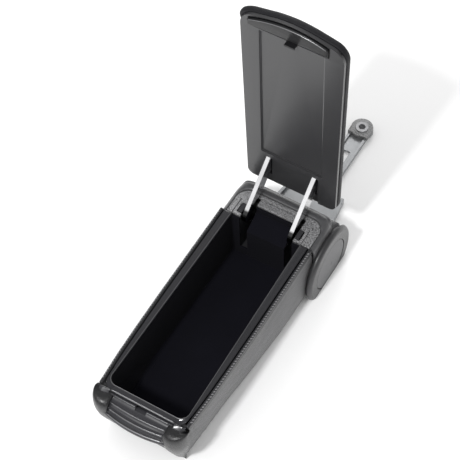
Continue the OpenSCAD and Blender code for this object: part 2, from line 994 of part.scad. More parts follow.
module lid_panel() {
    tub_half_w = arm_x + 9;
    color([0.17, 0.17, 0.18])
    opened()
        difference() {
            union() {
                translate([0, 0, lid_z])
                    linear_extrude(panel_t)
                        lid_outline(1.2);
                translate([-tub_half_w, lid_y(step_in + 4), lid_z])
                    cube([2 * tub_half_w, step_in, foot_flange_z - fit - lid_z]);
                translate([0, 0, lid_z])
                    linear_extrude(latch_room_z + 2 - lid_z)
                        intersection() {
                            lid_outline(3.5);
                            translate([-flap_half_w - 3, lid_front_y])
                                square([2 * flap_half_w + 6, flap_pivot_y + 7 - lid_front_y]);
                        }
            }
            panel_recess();
            arm_openings(arm_t + 1.6);
            flap_room();
            x_cylinder(latch_pin_r + run, 2 * flap_half_w + 4, 0, flap_pivot_y, flap_pivot_z);
        }
}

function flange_places() =
    [for (side = [LEFT, RIGHT], along = [step_in - 26, step_in - 8]) [side * (arm_x + 4.6), lid_y(along)]];

module lid_mount_plate() {
    color([0.62, 0.62, 0.64])
    opened()
        difference() {
            translate([-arm_x - 9, lid_y(step_in + 2), foot_flange_z + flange_t + 0.1])
                cube([2 * (arm_x + 9), step_in - 8, plate_t]);
            for (p = flange_places())
                translate([p.x, p.y, foot_flange_z - 5])
                    cylinder(r = 1.65, h = 20);
            translate([-16, lid_y(step_in - 6), foot_flange_z])
                cube([32, step_in - 26, 20]);
        }
}

module lid_screws() {
    color([0.5, 0.5, 0.52])
    opened()
        for (p = flange_places())
            translate([p.x, p.y, 0]) {
                translate([0, 0, foot_flange_z])
                    cylinder(r = 1.6, h = flange_t + plate_t + 0.5);
                translate([0, 0, foot_flange_z + flange_t + plate_t + 0.2])
                    cylinder(r = 3, h = 1.6);
            }
}

// Crown of the cushion: share of its rise above the edge, and how far in from the edge it lies
crown = [[0.25, 7], [0.65, 16], [1, 30]];

module lid_cushion() {
    room_half_w = arm_x + 9 + fit;
    edge_z = lid_z + lid_edge_t;
    color([0.1, 0.1, 0.11])
    opened()
        difference() {
            hull() {
                translate([0, 0, panel_top_z + fit])
                    linear_extrude(0.5)
                        lid_outline(0.8);
                translate([0, 0, panel_top_z + 2])
                    linear_extrude(lid_edge_t - panel_t - 6.5)
                        lid_outline(0);
                translate([0, 0, edge_z - 1])
                    linear_extrude(0.5)
                        lid_outline(1.8);
                for (c = crown)
                    translate([0, 0, edge_z + c.x * (lid_t - lid_edge_t) - 0.5])
                        linear_extrude(0.5)
                            lid_outline(c.y);
            }
            translate([-room_half_w, lid_y(step_in + 4 + fit), lid_z])
                cube([2 * room_half_w, step_in + 2 * fit, foot_flange_z + fit - lid_z]);
            translate([-room_half_w, lid_y(step_in + 3), lid_z])
                cube([2 * room_half_w, step_in - 6, foot_flange_z + flange_t + plate_t + 2.2 - lid_z]);
            translate([0, 0, lid_z])
                linear_extrude(latch_room_z + 2 + fit - lid_z)
                    intersection() {
                        lid_outline(3.2);
                        translate([-flap_half_w - 3.3, lid_front_y])
                            square([2 * flap_half_w + 6.6, flap_pivot_y + 7.3 - lid_front_y]);
                    }
        }
}

// Arm with its swan neck, drawn in the open position
module hinge_arm(side) {
    far = elbow() + bar_len * bar_dir();
    flange_y = hinge_y + foot_flange_z - hinge_z;
    flange_top = hinge_z + hinge_y - lid_y(step_in - 1);
    color([0.85, 0.86, 0.88])
    difference() {
        union() {
            across(side * arm_x, arm_t)
                intersection() {
                    difference() {
                        union() {
                            bar(elbow(), far + 20 * bar_dir(), arm_w);
                            translate(elbow())
                                circle(r = arm_w / 2, $fn = 64);
                            bar(elbow() + [1, 0], pivot(), 14.5);
                            translate(pivot())
                                circle(r = eye_r, $fn = 64);
                        }
                        translate([under_y, flange_top])
                            square([60, 60]);
                    }
                    square([2 * (flange_y + flange_t), 2 * 200], center = true);
                }
            translate([side * arm_x - (side > 0 ? arm_t / 2 : 9), flange_y, flange_top - 31])
                cube([arm_t / 2 + 9, flange_t, 31]);
        }
        x_cylinder(pin_r + run, arm_t + 2, side * arm_x, hinge_y, hinge_z);
        opened()
            for (p = flange_places())
                translate([p.x, p.y, foot_flange_z - 5])
                    cylinder(r = 1.65, h = 20);
    }
}

module hinge_arm_left() {
    hinge_arm(LEFT);
}

module hinge_arm_right() {
    hinge_arm(RIGHT);
}

// Latch

module latch_pin() {
    color([0.7, 0.7, 0.72])
    opened()
        x_cylinder(latch_pin_r, 2 * flap_half_w + 3.6, 0, flap_pivot_y, flap_pivot_z);
}

spring_turns = 5;
spring_x = 24;
spring_wire = 0.5;
spring_r = latch_pin_r + 1.1;

// Helix around the latch pin
module latch_spring() {
    steps = spring_turns * 14;
    sides = 6;
    pitch = 1.5;
    rings = [
        for (i = [0:steps])
            let (a = 360 * i / 14, x = (i / 14 - spring_turns / 2) * pitch)
            [for (j = [0:sides - 1])
                let (b = 360 * j / sides, r = spring_r + spring_wire * cos(b))
                [x - spring_wire * sin(b), r * cos(a), r * sin(a)]]
    ];
    color([0.6, 0.6, 0.62])
    opened()
        translate([spring_x, flap_pivot_y, flap_pivot_z])
            loft(rings);
}

module latch_flap() {
    knuckle_r = latch_pin_r + 1.2;
    lip_h = 1.6;
    claw_top_z = lid_z + 0.2 + flap_t;
    claw_foot_z = trim_z - fit - claw_t;
    color([0.2, 0.2, 0.21])
    opened()
        difference() {
            union() {
                translate([0, 0, lid_z + 0.2])
                    linear_extrude(flap_t)
                        intersection() {
                            lid_outline(7);
                            translate([-flap_half_w, lid_front_y])
                                square([2 * flap_half_w, flap_pivot_y - lid_front_y]);
                        }
                translate([0, 0, lid_z - lip_h])
                    linear_extrude(lip_h + 1)
                        intersection() {
                            difference() {
                                lid_outline(7);
                                lid_outline(9.2);
                            }
                            translate([-rib_half_w + 3, lid_front_y])
                                square([2 * rib_half_w - 6, 18]);
                        }
                x_cylinder(knuckle_r, 2 * flap_half_w, 0, flap_pivot_y, flap_pivot_z);
                across(0, 2 * claw_half_w)
                    polygon([
                        [flap_pivot_y - 2, claw_top_z - flap_t], [claw_y, claw_top_z - flap_t],
                        [claw_y, claw_foot_z], [trim_front_y + claw_catch - 0.8, claw_foot_z],
                        [trim_front_y + claw_catch, claw_foot_z + claw_t],
                        [claw_y + claw_t, claw_foot_z + claw_t], [claw_y + claw_t, claw_top_z],
                        [flap_pivot_y - 2, claw_top_z]
                    ]);
            }
            x_cylinder(latch_pin_r + run, 2 * flap_half_w + 2, 0, flap_pivot_y, flap_pivot_z);
            translate([spring_x - 6, flap_pivot_y - 5, lid_z - 1])
                cube([12, 12, 12]);
        }
}

// Bracket

module pivot_sleeve() {
    color([0.45, 0.46, 0.47])
    difference() {
        x_cylinder(hub_r, 2 * hub_half_w, 0, axle_y, axle_z);
        x_cylinder(axle_r + run, 2 * hub_half_w + 2, 0, axle_y, axle_z);
    }
}

module friction_washers() {
    color([0.75, 0.7, 0.55])
    for (side = [LEFT, RIGHT])
        difference() {
            x_cylinder(hub_r - 0.5, washer_t, side * (hub_half_w + washer_t / 2), axle_y, axle_z);
            x_cylinder(axle_r + run, washer_t + 2, side * (hub_half_w + washer_t / 2), axle_y, axle_z);
        }
}

// Web between the hub and the base plate
module neck_plate(side) {
    color([0.42, 0.43, 0.44])
    difference() {
        across(side * (neck_x + neck_t / 2), neck_t)
            polygon([
                [plate_front_y, axle_z - 6], [plate_front_y, sheet_t + run],
                [axle_y + 42, sheet_t + run], [axle_y + 38, sheet_t + 5],
                [axle_y + 16, axle_z - 9], [axle_y + hub_r - 2, axle_z]
            ]);
        x_cylinder(hub_r + run, neck_t * 3, side * neck_x, axle_y, axle_z);
    }
}

module neck_plate_left() {
    neck_plate(LEFT);
}

module neck_plate_right() {
    neck_plate(RIGHT);
}

leg_w = 24;

module plate_outline() {
    ear_x = ear_span / 2;
    union() {
        translate([-plate_half_w, plate_front_y])
            square([2 * plate_half_w, ear_rear_y - plate_front_y]);
        polygon([
            [-plate_half_w, ear_front_y - 8], [-ear_x + 3, ear_front_y + 10],
            [-ear_x + 8, ear_rear_y], [-ear_x + 20, ear_rear_y],
            [foot_x - leg_w / 2, ear_rear_y + 22], [foot_x + leg_w / 2, ear_rear_y + 22],
            [ear_x - 20, ear_rear_y], [ear_x - 8, ear_rear_y],
            [ear_x - 3, ear_front_y + 10], [plate_half_w, ear_front_y - 8]
        ]);
        translate([foot_x - leg_w / 2, ear_rear_y])
            square([leg_w, foot_y - ear_rear_y]);
        translate([foot_x, foot_y])
            circle(r = foot_end_r);
    }
}

module base_plate() {
    ear_x = ear_span / 2;
    color([0.55, 0.56, 0.57])
    difference() {
        union() {
            linear_extrude(sheet_t)
                plate_outline();
            for (side = [LEFT, RIGHT])
                intersection() {
                    linear_extrude(ear_h)
                        plate_outline();
                    translate([side * (ear_x - 5.5), ear_rear_y - 15, ear_h / 2])
                        rotate([0, 0, side * 7])
                            cube([8, 40, ear_h], center = true);
                }
            for (side = [LEFT, RIGHT])
                translate([foot_x + side * (leg_w / 2 - 1.5), ear_rear_y + 14, 0])
                    translate([-1.5, 0, 0])
                        cube([3, foot_y - ear_rear_y - 26, ear_h - 2]);
        }
        translate([foot_x, foot_y, -1])
            cylinder(r = foot_bore_r + 1.8, h = sheet_t + 2);
        translate([foot_x - 4, ear_rear_y + 34, -1])
            cube([8, 34, sheet_t + 2]);
    }
}

module foot_pad() {
    color([0.2, 0.2, 0.21])
    difference() {
        union() {
            translate([foot_x, foot_y, sheet_t + run])
                cylinder(r = foot_end_r - 0.3, h = pad_h - sheet_t);
            translate([foot_x - foot_end_r + 0.8, foot_y - 12, sheet_t + run])
                cube([2 * foot_end_r - 1.6, 12, pad_h - sheet_t]);
        }
        translate([foot_x, foot_y, 0])
            cylinder(r = foot_bore_r + 1.8, h = 20);
    }
}

module foot_bush() {
    color([0.5, 0.5, 0.52])
    difference() {
        union() {
            translate([foot_x, foot_y, 0.2])
                cylinder(r = foot_bore_r + 1.7, h = pad_h + 0.6);
            translate([foot_x, foot_y, pad_h + 0.15])
                cylinder(r = foot_bore_r + 3.6, h = 1.2);
        }
        translate([foot_x, foot_y, -1])
            cylinder(r = foot_bore_r, h = 20);
    }
}

box_shell();
bin_liner();
base_panel();
base_screws();
side_cover_left();
side_cover_right();
rim_trim();
rim_welt_left();
rim_welt_right();
front_nose();
hinge_housing();
rear_cover();
rear_deck();
pivot_block_left();
pivot_block_right();
arm_stop_left();
arm_stop_right();
hinge_pin_left();
hinge_pin_right();
tilt_axle();
axle_clips();
end_cap_left();
end_cap_right();
cap_disc_left();
cap_disc_right();
cap_screws();
hinge_arm_left();
hinge_arm_right();
lid_panel();
lid_mount_plate();
lid_screws();
lid_cushion();
latch_pin();
latch_spring();
latch_flap();
pivot_sleeve();
friction_washers();
neck_plate_left();
neck_plate_right();
base_plate();
foot_pad();
foot_bush();
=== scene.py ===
"""Looks of a car centre armrest: leather, moulded plastic, flock, plated steel, light and camera."""
import logging
import math
from dataclasses import dataclass
from enum import Enum
from typing import Callable, Iterable, Sequence

import bpy
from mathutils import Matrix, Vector, noise


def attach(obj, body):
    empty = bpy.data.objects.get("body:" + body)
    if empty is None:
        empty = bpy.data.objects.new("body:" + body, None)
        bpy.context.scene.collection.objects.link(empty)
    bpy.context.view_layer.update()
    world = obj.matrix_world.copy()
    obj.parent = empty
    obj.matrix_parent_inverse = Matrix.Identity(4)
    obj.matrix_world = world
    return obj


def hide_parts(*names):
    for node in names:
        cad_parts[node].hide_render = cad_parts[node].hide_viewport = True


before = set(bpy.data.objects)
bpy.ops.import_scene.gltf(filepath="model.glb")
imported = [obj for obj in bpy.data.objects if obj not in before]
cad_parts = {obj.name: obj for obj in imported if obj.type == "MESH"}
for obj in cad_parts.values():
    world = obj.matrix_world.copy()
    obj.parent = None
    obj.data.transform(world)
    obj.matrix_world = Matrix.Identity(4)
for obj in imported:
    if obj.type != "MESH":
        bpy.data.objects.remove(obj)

logging.basicConfig(level=logging.INFO, format="%(message)s")
log = logging.getLogger("armrest")

MM = 0.001
Point = tuple[float, float, float]
Flat = tuple[float, float]
Colour = tuple[float, float, float]
Piece = bpy.types.Object
Tree = bpy.types.NodeTree
Socket = bpy.types.NodeSocket
UPWARD: Point = (0.0, 0.0, 1.0)


class Grain(Enum):
    """Kinds of surface that a finish can have."""

    LEATHER = "leather"
    PEBBLE = "pebble"
    FINE = "fine"
    FLOCK = "flock"
    BRUSHED = "brushed"
    SMOOTH = "smooth"


class Side(Enum):
    """Left or right half of the armrest, as the sign of X."""

    LEFT = -1
    RIGHT = 1


# Finishes

COAT_ROUGHNESS = 0.25
SHEEN_ROUGHNESS = 0.45
CLOUD_SCALE = 22.0
CREASE_GAIN = 5.0
CREASE_SHARE = 0.6
FOLD_SCALE = 0.28
FOLD_SHARE = 0.5
BRUSH_STRETCH = 0.06
SMOOTH_SCALE = 0.2
CELL_SCATTER = 0.9
WORN_SHARE = 0.16
CLOUDY_SHARE = 0.12
BLACKENED = 0.07
BLACKEN_SLOPE = 500.0
GLOSS_Z = 80.0
GLOSS_KEPT = 0.28

@dataclass(frozen=True)
class Finish:
    """One surface finish, with its sizes in millimetres.

    Args:
        name: Name of the material.
        colour: Base colour, linear.
        roughness: Mean roughness.
        grain: Kind of surface grain.
        cell: Size of one grain cell.
        depth: Height of the grain.
        metallic: Metallic share.
        coat: Weight of the clear coat.
        sheen: Weight of the fibre sheen.
        edge: Radius that its sharp edges look rounded to.
        mottle: Share by which its brightness varies.
        gloss_spots: Places where it is polished, as (x, y, radius).
        shine: Strength of its plain reflection.
        dark_below: Height under which it is blackened, or 0 for none.
    """

    name: str
    colour: Colour
    roughness: float
    grain: Grain = Grain.FINE
    cell: float = 0.6
    depth: float = 0.05
    metallic: float = 0.0
    coat: float = 0.0
    sheen: float = 0.0
    edge: float = 0.4
    mottle: float = 0.12
    gloss_spots: tuple[Point, ...] = ()
    shine: float = 0.5
    dark_below: float = 0.0

    def material(self) -> bpy.types.Material:
        """Builds the material, or returns it if it is there already.

        Returns:
            The procedural material.
        """
        title = f"look_{self.name}"
        known = bpy.data.materials.get(title)
        if known:
            return known
        made = bpy.data.materials.new(title)
        made.use_nodes = True
        tree = made.node_tree
        shader = tree.nodes["Principled BSDF"]
        shader.inputs["Metallic"].default_value = self.metallic
        shader.inputs["Coat Weight"].default_value = self.coat
        shader.inputs["Coat Roughness"].default_value = COAT_ROUGHNESS
        shader.inputs["Specular IOR Level"].default_value = self.shine
        shader.inputs["Sheen Weight"].default_value = self.sheen
        shader.inputs["Sheen Roughness"].default_value = SHEEN_ROUGHNESS
        place = tree.nodes.new("ShaderNodeTexCoord").outputs["Object"]
        height = self._height(tree, place)
        cloud = self._noise(tree, place, CLOUD_SCALE, 3.0)
        self._colour(tree, shader, height, cloud, place)
        self._roughness(tree, shader, height, cloud, place)
        self._normal(tree, shader, height)
        return made

    @staticmethod
    def _noise(tree: Tree, place: Socket, scale: float, detail: float) -> Socket:
        """Adds a noise texture.

        Args:
            tree: Node tree of the material.
            place: Coordinates in metres.
            scale: Waves per metre.
            detail: Number of finer layers.

        Returns:
            The socket with its value.
        """
        node = tree.nodes.new("ShaderNodeTexNoise")
        node.inputs["Scale"].default_value = scale
        node.inputs["Detail"].default_value = detail
        tree.links.new(place, node.inputs["Vector"])
        return node.outputs["Fac"]

    @staticmethod
    def _math(tree: Tree, kind: str, *values: object) -> Socket:
        """Adds a maths node.

        Args:
            tree: Node tree of the material.
            kind: What it works out.
            values: Its inputs, each a socket or a number.

        Returns:
            The socket with its value.
        """
        node = tree.nodes.new("ShaderNodeMath")
        node.operation = kind
        for slot, value in zip(node.inputs, values):
            if isinstance(value, (int, float)):
                slot.default_value = value
            else:
                tree.links.new(value, slot)
        return node.outputs[0]

    def _cells(self, tree: Tree, place: Socket, scale: float, feature: str) -> Socket:
        """Adds a cell texture.

        Args:
            tree: Node tree of the material.
            place: Coordinates in metres.
            scale: Cells per metre.
            feature: Which distance it gives.

        Returns:
            The socket with the distance.
        """
        node = tree.nodes.new("ShaderNodeTexVoronoi")
        node.feature = feature
        node.inputs["Scale"].default_value = scale
        node.inputs["Randomness"].default_value = CELL_SCATTER
        tree.links.new(place, node.inputs["Vector"])
        return node.outputs["Distance"]

    def _height(self, tree: Tree, place: Socket) -> Socket:
        """Makes the grain's height, from 0 in its creases to 1 on its tops.

        Args:
            tree: Node tree of the material.
            place: Coordinates in metres.

        Returns:
            The socket with the height.
        """
        scale = 1000.0 / self.cell
        if self.grain is Grain.LEATHER:
            crease = self._cells(tree, place, scale, "DISTANCE_TO_EDGE")
            crease = self._math(tree, "MULTIPLY", crease, CREASE_GAIN)
            crease = self._math(tree, "MULTIPLY", self._math(tree, "MINIMUM", crease, 1.0), CREASE_SHARE)
            fold = self._noise(tree, place, scale * FOLD_SCALE, 3.0)
            return self._math(tree, "ADD", crease, self._math(tree, "MULTIPLY", fold, FOLD_SHARE))
        if self.grain is Grain.PEBBLE:
            bead = self._cells(tree, place, scale, "F1")
            return self._math(tree, "SUBTRACT", 1.0, bead)
        if self.grain is Grain.BRUSHED:
            stretch = tree.nodes.new("ShaderNodeMapping")
            stretch.inputs["Scale"].default_value = (1.0, BRUSH_STRETCH, 1.0)
            tree.links.new(place, stretch.inputs["Vector"])
            return self._noise(tree, stretch.outputs["Vector"], scale, 2.0)
        if self.grain is Grain.SMOOTH:
            return self._noise(tree, place, scale * SMOOTH_SCALE, 2.0)
        return self._noise(tree, place, scale, 4.0 if self.grain is Grain.FLOCK else 2.0)

    def _colour(
        self, tree: Tree, shader: bpy.types.Node, height: Socket,
        cloud: Socket, place: Socket,
    ) -> None:
        """Varies the colour with the grain and over the surface, and blackens the dark end.

        Args:
            tree: Node tree of the material.
            shader: Principled shader of the material.
            height: Height of the grain.
            cloud: Slow variation over the surface.
            place: Coordinates in metres.
        """
        half_height = self._math(tree, "MULTIPLY", height, 0.5)
        amount = self._math(tree, "ADD", half_height, self._math(tree, "MULTIPLY", cloud, 0.5))
        ramp = tree.nodes.new("ShaderNodeValToRGB")
        low, high = ramp.color_ramp.elements
        low.position, high.position = 0.25, 0.75
        low.color = (*(c * (1.0 - self.mottle) for c in self.colour), 1.0)
        high.color = (*(min(1.0, c * (1.0 + self.mottle)) for c in self.colour), 1.0)
        tree.links.new(amount, ramp.inputs["Fac"])
        colour = ramp.outputs["Color"]
        if self.dark_below:
            split = tree.nodes.new("ShaderNodeSeparateXYZ")
            tree.links.new(place, split.inputs[0])
            over = self._math(tree, "SUBTRACT", split.outputs["Z"], self.dark_below * MM)
            bright = self._math(tree, "MULTIPLY", over, BLACKEN_SLOPE)
            bright = self._math(tree, "MINIMUM", self._math(tree, "MAXIMUM", bright, BLACKENED), 1.0)
            shade = tree.nodes.new("ShaderNodeVectorMath")
            shade.operation = "SCALE"
            tree.links.new(colour, shade.inputs[0])
            tree.links.new(bright, shade.inputs["Scale"])
            colour = shade.outputs["Vector"]
        tree.links.new(colour, shader.inputs["Base Color"])

    def _roughness(
        self, tree: Tree, shader: bpy.types.Node, height: Socket,
        cloud: Socket, place: Socket,
    ) -> None:
        """Makes the grain's tops a little smoother than its creases, and polishes the gloss spots.

        Args:
            tree: Node tree of the material.
            shader: Principled shader of the material.
            height: Height of the grain.
            cloud: Slow variation over the surface.
            place: Coordinates in metres.
        """
        worn = self._math(tree, "MULTIPLY", self._math(tree, "SUBTRACT", 0.5, height), WORN_SHARE)
        cloudy = self._math(tree, "MULTIPLY", self._math(tree, "SUBTRACT", cloud, 0.5), CLOUDY_SHARE)
        rough = self._math(tree, "ADD", self._math(tree, "ADD", worn, cloudy), self.roughness)
        for x, y, radius in self.gloss_spots:
            away = tree.nodes.new("ShaderNodeVectorMath")
            away.operation = "DISTANCE"
            tree.links.new(place, away.inputs[0])
            away.inputs[1].default_value = (x * MM, y * MM, GLOSS_Z * MM)
            near = self._math(tree, "DIVIDE", away.outputs["Value"], radius * MM)
            near = self._math(tree, "MINIMUM", self._math(tree, "POWER", near, 3.0), 1.0)
            near = self._math(tree, "MULTIPLY", near, 1.0 - GLOSS_KEPT)
            rough = self._math(tree, "MULTIPLY", rough, self._math(tree, "ADD", near, GLOSS_KEPT))
        tree.links.new(rough, shader.inputs["Roughness"])

    def _normal(self, tree: Tree, shader: bpy.types.Node, height: Socket) -> None:
        """Adds the grain's relief over softly rounded edges.

        Args:
            tree: Node tree of the material.
            shader: Principled shader of the material.
            height: Height of the grain.
        """
        bump = tree.nodes.new("ShaderNodeBump")
        bump.inputs["Strength"].default_value = 1.0
        bump.inputs["Distance"].default_value = self.depth * MM
        tree.links.new(height, bump.inputs["Height"])
        if self.edge > 0.0:
            soft = tree.nodes.new("ShaderNodeBevel")
            soft.samples = 4
            soft.inputs["Radius"].default_value = self.edge * MM
            tree.links.new(soft.outputs["Normal"], bump.inputs["Normal"])
        tree.links.new(bump.outputs["Normal"], shader.inputs["Normal"])

    def dress(self, piece: Piece) -> None:
        """Gives every material slot of a piece this finish.

        Args:
            piece: Object to dress.
        """
        if not piece.material_slots:
            piece.data.materials.append(None)
        for slot in piece.material_slots:
            slot.material = self.material()


LEATHER = Finish(
    "black_leather", (0.02, 0.02, 0.022), 0.38, Grain.LEATHER, 1.1, 0.10,
    coat=0.25, edge=0.0, mottle=0.22,
)
SIDE_LEATHER = Finish(
    "side_leather", (0.05, 0.05, 0.053), 0.5, Grain.LEATHER, 0.9, 0.07,
    sheen=0.25, edge=0.0, mottle=0.15,
)
# Same black leather as elsewhere, drawn lighter: the raised colour is painted sheen, standing in for the
# bright satin reflection on the roll behind the deck.
REAR_LEATHER_PAINTED_SHEEN = Finish(
    "rear_leather_painted_sheen", (0.055, 0.055, 0.058), 0.4, Grain.LEATHER, 1.1, 0.07,
    coat=0.25, sheen=0.3, edge=0.0, mottle=0.18,
)
LID_LEATHER = Finish(
    "lid_leather", (0.012, 0.012, 0.014), 0.55, Grain.LEATHER, 1.2, 0.12,
    coat=0.0, shine=0.22, edge=0.0, mottle=0.2,
)
# Light metallic grey for the thin beads on the rib edges, the trim's front and the latch cover's top: the
# lighter colour is a painted highlight, standing in for the gleam on the dark plastic's rounded edges.
PAINTED_HIGHLIGHT_BEAD = Finish(
    "painted_highlight_bead", (0.3, 0.3, 0.31), 0.3, Grain.SMOOTH, 3.0, 0.004,
    metallic=1.0, edge=0.0, mottle=0.06,
)
# Lighter metallic grey for the thin lip round the mouth: a painted highlight along the trim's inner edge.
PAINTED_HIGHLIGHT_LIP = Finish(
    "painted_highlight_lip", (0.16, 0.16, 0.165), 0.32, Grain.SMOOTH, 3.0, 0.004,
    metallic=0.7, edge=0.0, mottle=0.06,
)
CORNER = Finish(
    "polished_corner", (0.03, 0.03, 0.034), 0.2, Grain.SMOOTH, 3.0, 0.002,
    coat=0.6, edge=0.3, mottle=0.05, shine=0.8,
)
THREAD = Finish("seam_thread", (0.26, 0.26, 0.27), 0.45, Grain.FINE, 0.3, 0.04, edge=0.0)
RIM = Finish(
    "rim_plastic", (0.022, 0.022, 0.025), 0.3, Grain.FINE, 0.7, 0.03, coat=0.3, edge=0.7,
    gloss_spots=((-51.0, -268.0, 15.0), (51.0, -268.0, 15.0)),
)
NOSE = Finish("nose_plastic", (0.03, 0.03, 0.034), 0.26, Grain.FINE, 0.5, 0.02, coat=0.3, edge=0.3)
CHEEK = Finish("cheek_plastic", (0.014, 0.014, 0.015), 0.34, Grain.LEATHER, 1.0, 0.1, coat=0.2, edge=0.0)
SHELL = Finish("shell_plastic", (0.02, 0.02, 0.022), 0.5, Grain.FINE, 0.5, 0.03)
FLOCK = Finish(
    "black_flock", (0.005, 0.005, 0.008), 0.95, Grain.FLOCK, 0.35, 0.12,
    sheen=0.03, edge=0.5, mottle=0.3, shine=0.1,
)
INSERT = Finish(
    "grained_insert", (0.2, 0.2, 0.205), 0.3, Grain.PEBBLE, 1.8, 0.5,
    coat=0.2, edge=0.0, mottle=0.85,
)
LID_PLASTIC = Finish(
    "lid_plastic", (0.03, 0.03, 0.032), 0.38, Grain.FINE, 0.45, 0.006,
    coat=0.3, edge=0.3, shine=0.6,
)
FLAP = Finish(
    "flap_plastic", (0.01, 0.01, 0.011), 0.42, Grain.FINE, 0.45, 0.006,
    coat=0.1, edge=0.2, shine=0.35,
)
CHROME = Finish(
    "bright_plate", (0.66, 0.66, 0.67), 0.2, Grain.SMOOTH, 4.0, 0.004,
    metallic=1.0, edge=0.5, mottle=0.03, dark_below=84.0,
)
ZINC = Finish(
    "zinc_plate", (0.42, 0.43, 0.44), 0.42, Grain.SMOOTH, 3.0, 0.02,
    metallic=0.85, edge=0.5, mottle=0.12,
)
STEEL = Finish(
    "turned_steel", (0.55, 0.55, 0.57), 0.28, Grain.BRUSHED, 0.5, 0.01,
    metallic=1.0, edge=0.2, mottle=0.08,
)
SPRING = Finish("spring_steel", (0.3, 0.3, 0.32), 0.35, Grain.BRUSHED, 0.4, 0.01, metallic=1.0, edge=0.0)
RUBBER = Finish("black_rubber", (0.02, 0.02, 0.02), 0.75, Grain.FINE, 0.6, 0.04)
PAD = Finish("grained_pad", (0.24, 0.24, 0.242), 0.6, Grain.PEBBLE, 1.6, 0.35, edge=0.4, mottle=0.6)
BUSH = Finish("dull_bush", (0.4, 0.4, 0.41), 0.45, Grain.SMOOTH, 2.0, 0.01, metallic=0.5, edge=0.3)
WASHER = Finish("bearing_plastic", (0.35, 0.32, 0.24), 0.5, Grain.FINE, 0.6, 0.02)
CAP_RIM = Finish("cap_grain", (0.032, 0.032, 0.034), 0.4, Grain.LEATHER, 0.9, 0.07, coat=0.15, edge=0.5)
CAP_FACE = Finish("cap_face", (0.1, 0.1, 0.104), 0.45, Grain.LEATHER, 0.8, 0.03, edge=0.5, mottle=0.08)

FLOOR = Finish("pale_floor", (0.9, 0.9, 0.9), 0.9, Grain.SMOOTH, 9.0, 0.0, edge=0.0, mottle=0.0)

CARRIED: dict[str, Finish] = {
    "box_shell": SHELL, "bin_liner": FLOCK, "base_panel": SHELL, "base_screws": STEEL,
    "hinge_housing": SHELL, "pivot_block_left": RIM, "pivot_block_right": RIM,
    "arm_stop_left": RUBBER, "arm_stop_right": RUBBER, "hinge_pin_left": STEEL, "hinge_pin_right": STEEL,
    "tilt_axle": STEEL, "axle_clips": SPRING, "end_cap_left": CAP_RIM, "end_cap_right": CAP_RIM,
    "cap_disc_left": CAP_FACE, "cap_disc_right": CAP_FACE, "cap_screws": STEEL,
    "hinge_arm_left": CHROME, "hinge_arm_right": CHROME, "lid_panel": LID_PLASTIC, "lid_mount_plate": ZINC,
    "lid_screws": STEEL, "latch_pin": STEEL, "latch_spring": SPRING, "latch_flap": FLAP,
    "pivot_sleeve": ZINC, "friction_washers": WASHER, "neck_plate_left": ZINC, "neck_plate_right": ZINC,
    "base_plate": ZINC, "foot_pad": PAD, "foot_bush": BUSH,
}


# Mesh tools


@dataclass
class Shape:
    """A mesh in the making, in millimetres, with the pieces' shared steps as methods."""

    points: list[Point]
    faces: list[tuple[int, ...]]

    @classmethod
    def loft(cls, rings: Sequence[Sequence[Point]], around: bool = False) -> "Shape":
        """Joins rings of equal length with quads.

        Args:
            rings: Closed rings of points, in order.
            around: True where the last ring joins the first one; otherwise the ends are closed.

        Returns:
            The shape.
        """
        count = len(rings[0])
        points = [p for ring in rings for p in ring]
        faces: list[tuple[int, ...]] = []
        for i in range(len(rings) if around else len(rings) - 1):
            a, b = i * count, (i + 1) % len(rings) * count
            for j in range(count):
                k = (j + 1) % count
                faces.append((a + j, a + k, b + k, b + j))
        if not around:
            faces.append(tuple(range(count - 1, -1, -1)))
            faces.append(tuple((len(rings) - 1) * count + j for j in range(count)))
        return cls(points, faces)

    def add(self, other: "Shape") -> None:
        """Adds another shape's mesh to this one."""
        start = len(self.points)
        self.points.extend(other.points)
        self.faces.extend(tuple(start + i for i in face) for face in other.faces)

    def piece(self, name: str) -> Piece:
        """Turns the shape into an object in metres, with outward faces and smooth shading.

        Args:
            name: Name of the new piece.

        Returns:
            The object, linked to the scene.
        """
        mesh = bpy.data.meshes.new(name)
        mesh.from_pydata([tuple(c * MM for c in p) for p in self.points], [], self.faces)
        mesh.validate()
        made = bpy.data.objects.new(name, mesh)
        bpy.context.scene.collection.objects.link(made)
        outward(made)
        return made


def outward(piece: Piece) -> None:
    """Turns a piece's faces outward and shades them smooth.

    Args:
        piece: Object to mend.
    """
    bpy.context.view_layer.objects.active = piece
    bpy.ops.object.mode_set(mode="EDIT")
    bpy.ops.mesh.select_all(action="SELECT")
    bpy.ops.mesh.normals_make_consistent(inside=False)
    bpy.ops.object.mode_set(mode="OBJECT")
    piece.data.polygons.foreach_set("use_smooth", [True] * len(piece.data.polygons))


def settle(piece: Piece) -> None:
    """Applies all modifiers of a piece to its mesh.

    Args:
        piece: Object with the modifiers.
    """
    graph = bpy.context.evaluated_depsgraph_get()
    old = piece.data
    piece.data = bpy.data.meshes.new_from_object(piece.evaluated_get(graph))
    piece.modifiers.clear()
    bpy.data.meshes.remove(old)
    piece.data.polygons.foreach_set("use_smooth", [True] * len(piece.data.polygons))


def remesh(piece: Piece, voxel: float, passes: int) -> None:
    """Rebuilds a piece with even faces and smooths it.

    Args:
        piece: Object to rebuild.
        voxel: Face size in millimetres.
        passes: Number of smoothing passes.
    """
    even = piece.modifiers.new("even", "REMESH")
    even.mode = "VOXEL"
    even.voxel_size = voxel * MM
    if passes:
        calm = piece.modifiers.new("calm", "SMOOTH")
        calm.factor = 0.5
        calm.iterations = passes
    settle(piece)


def copy_of(node: str, name: str) -> Piece:
    """Copies a carried node's mesh into a new object.

    Args:
        node: Name of the carried node.
        name: Name of the new piece.

    Returns:
        The object, linked to the scene.
    """
    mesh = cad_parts[node].data.copy()
    mesh.materials.clear()
    made = bpy.data.objects.new(name, mesh)
    bpy.context.scene.collection.objects.link(made)
    return made


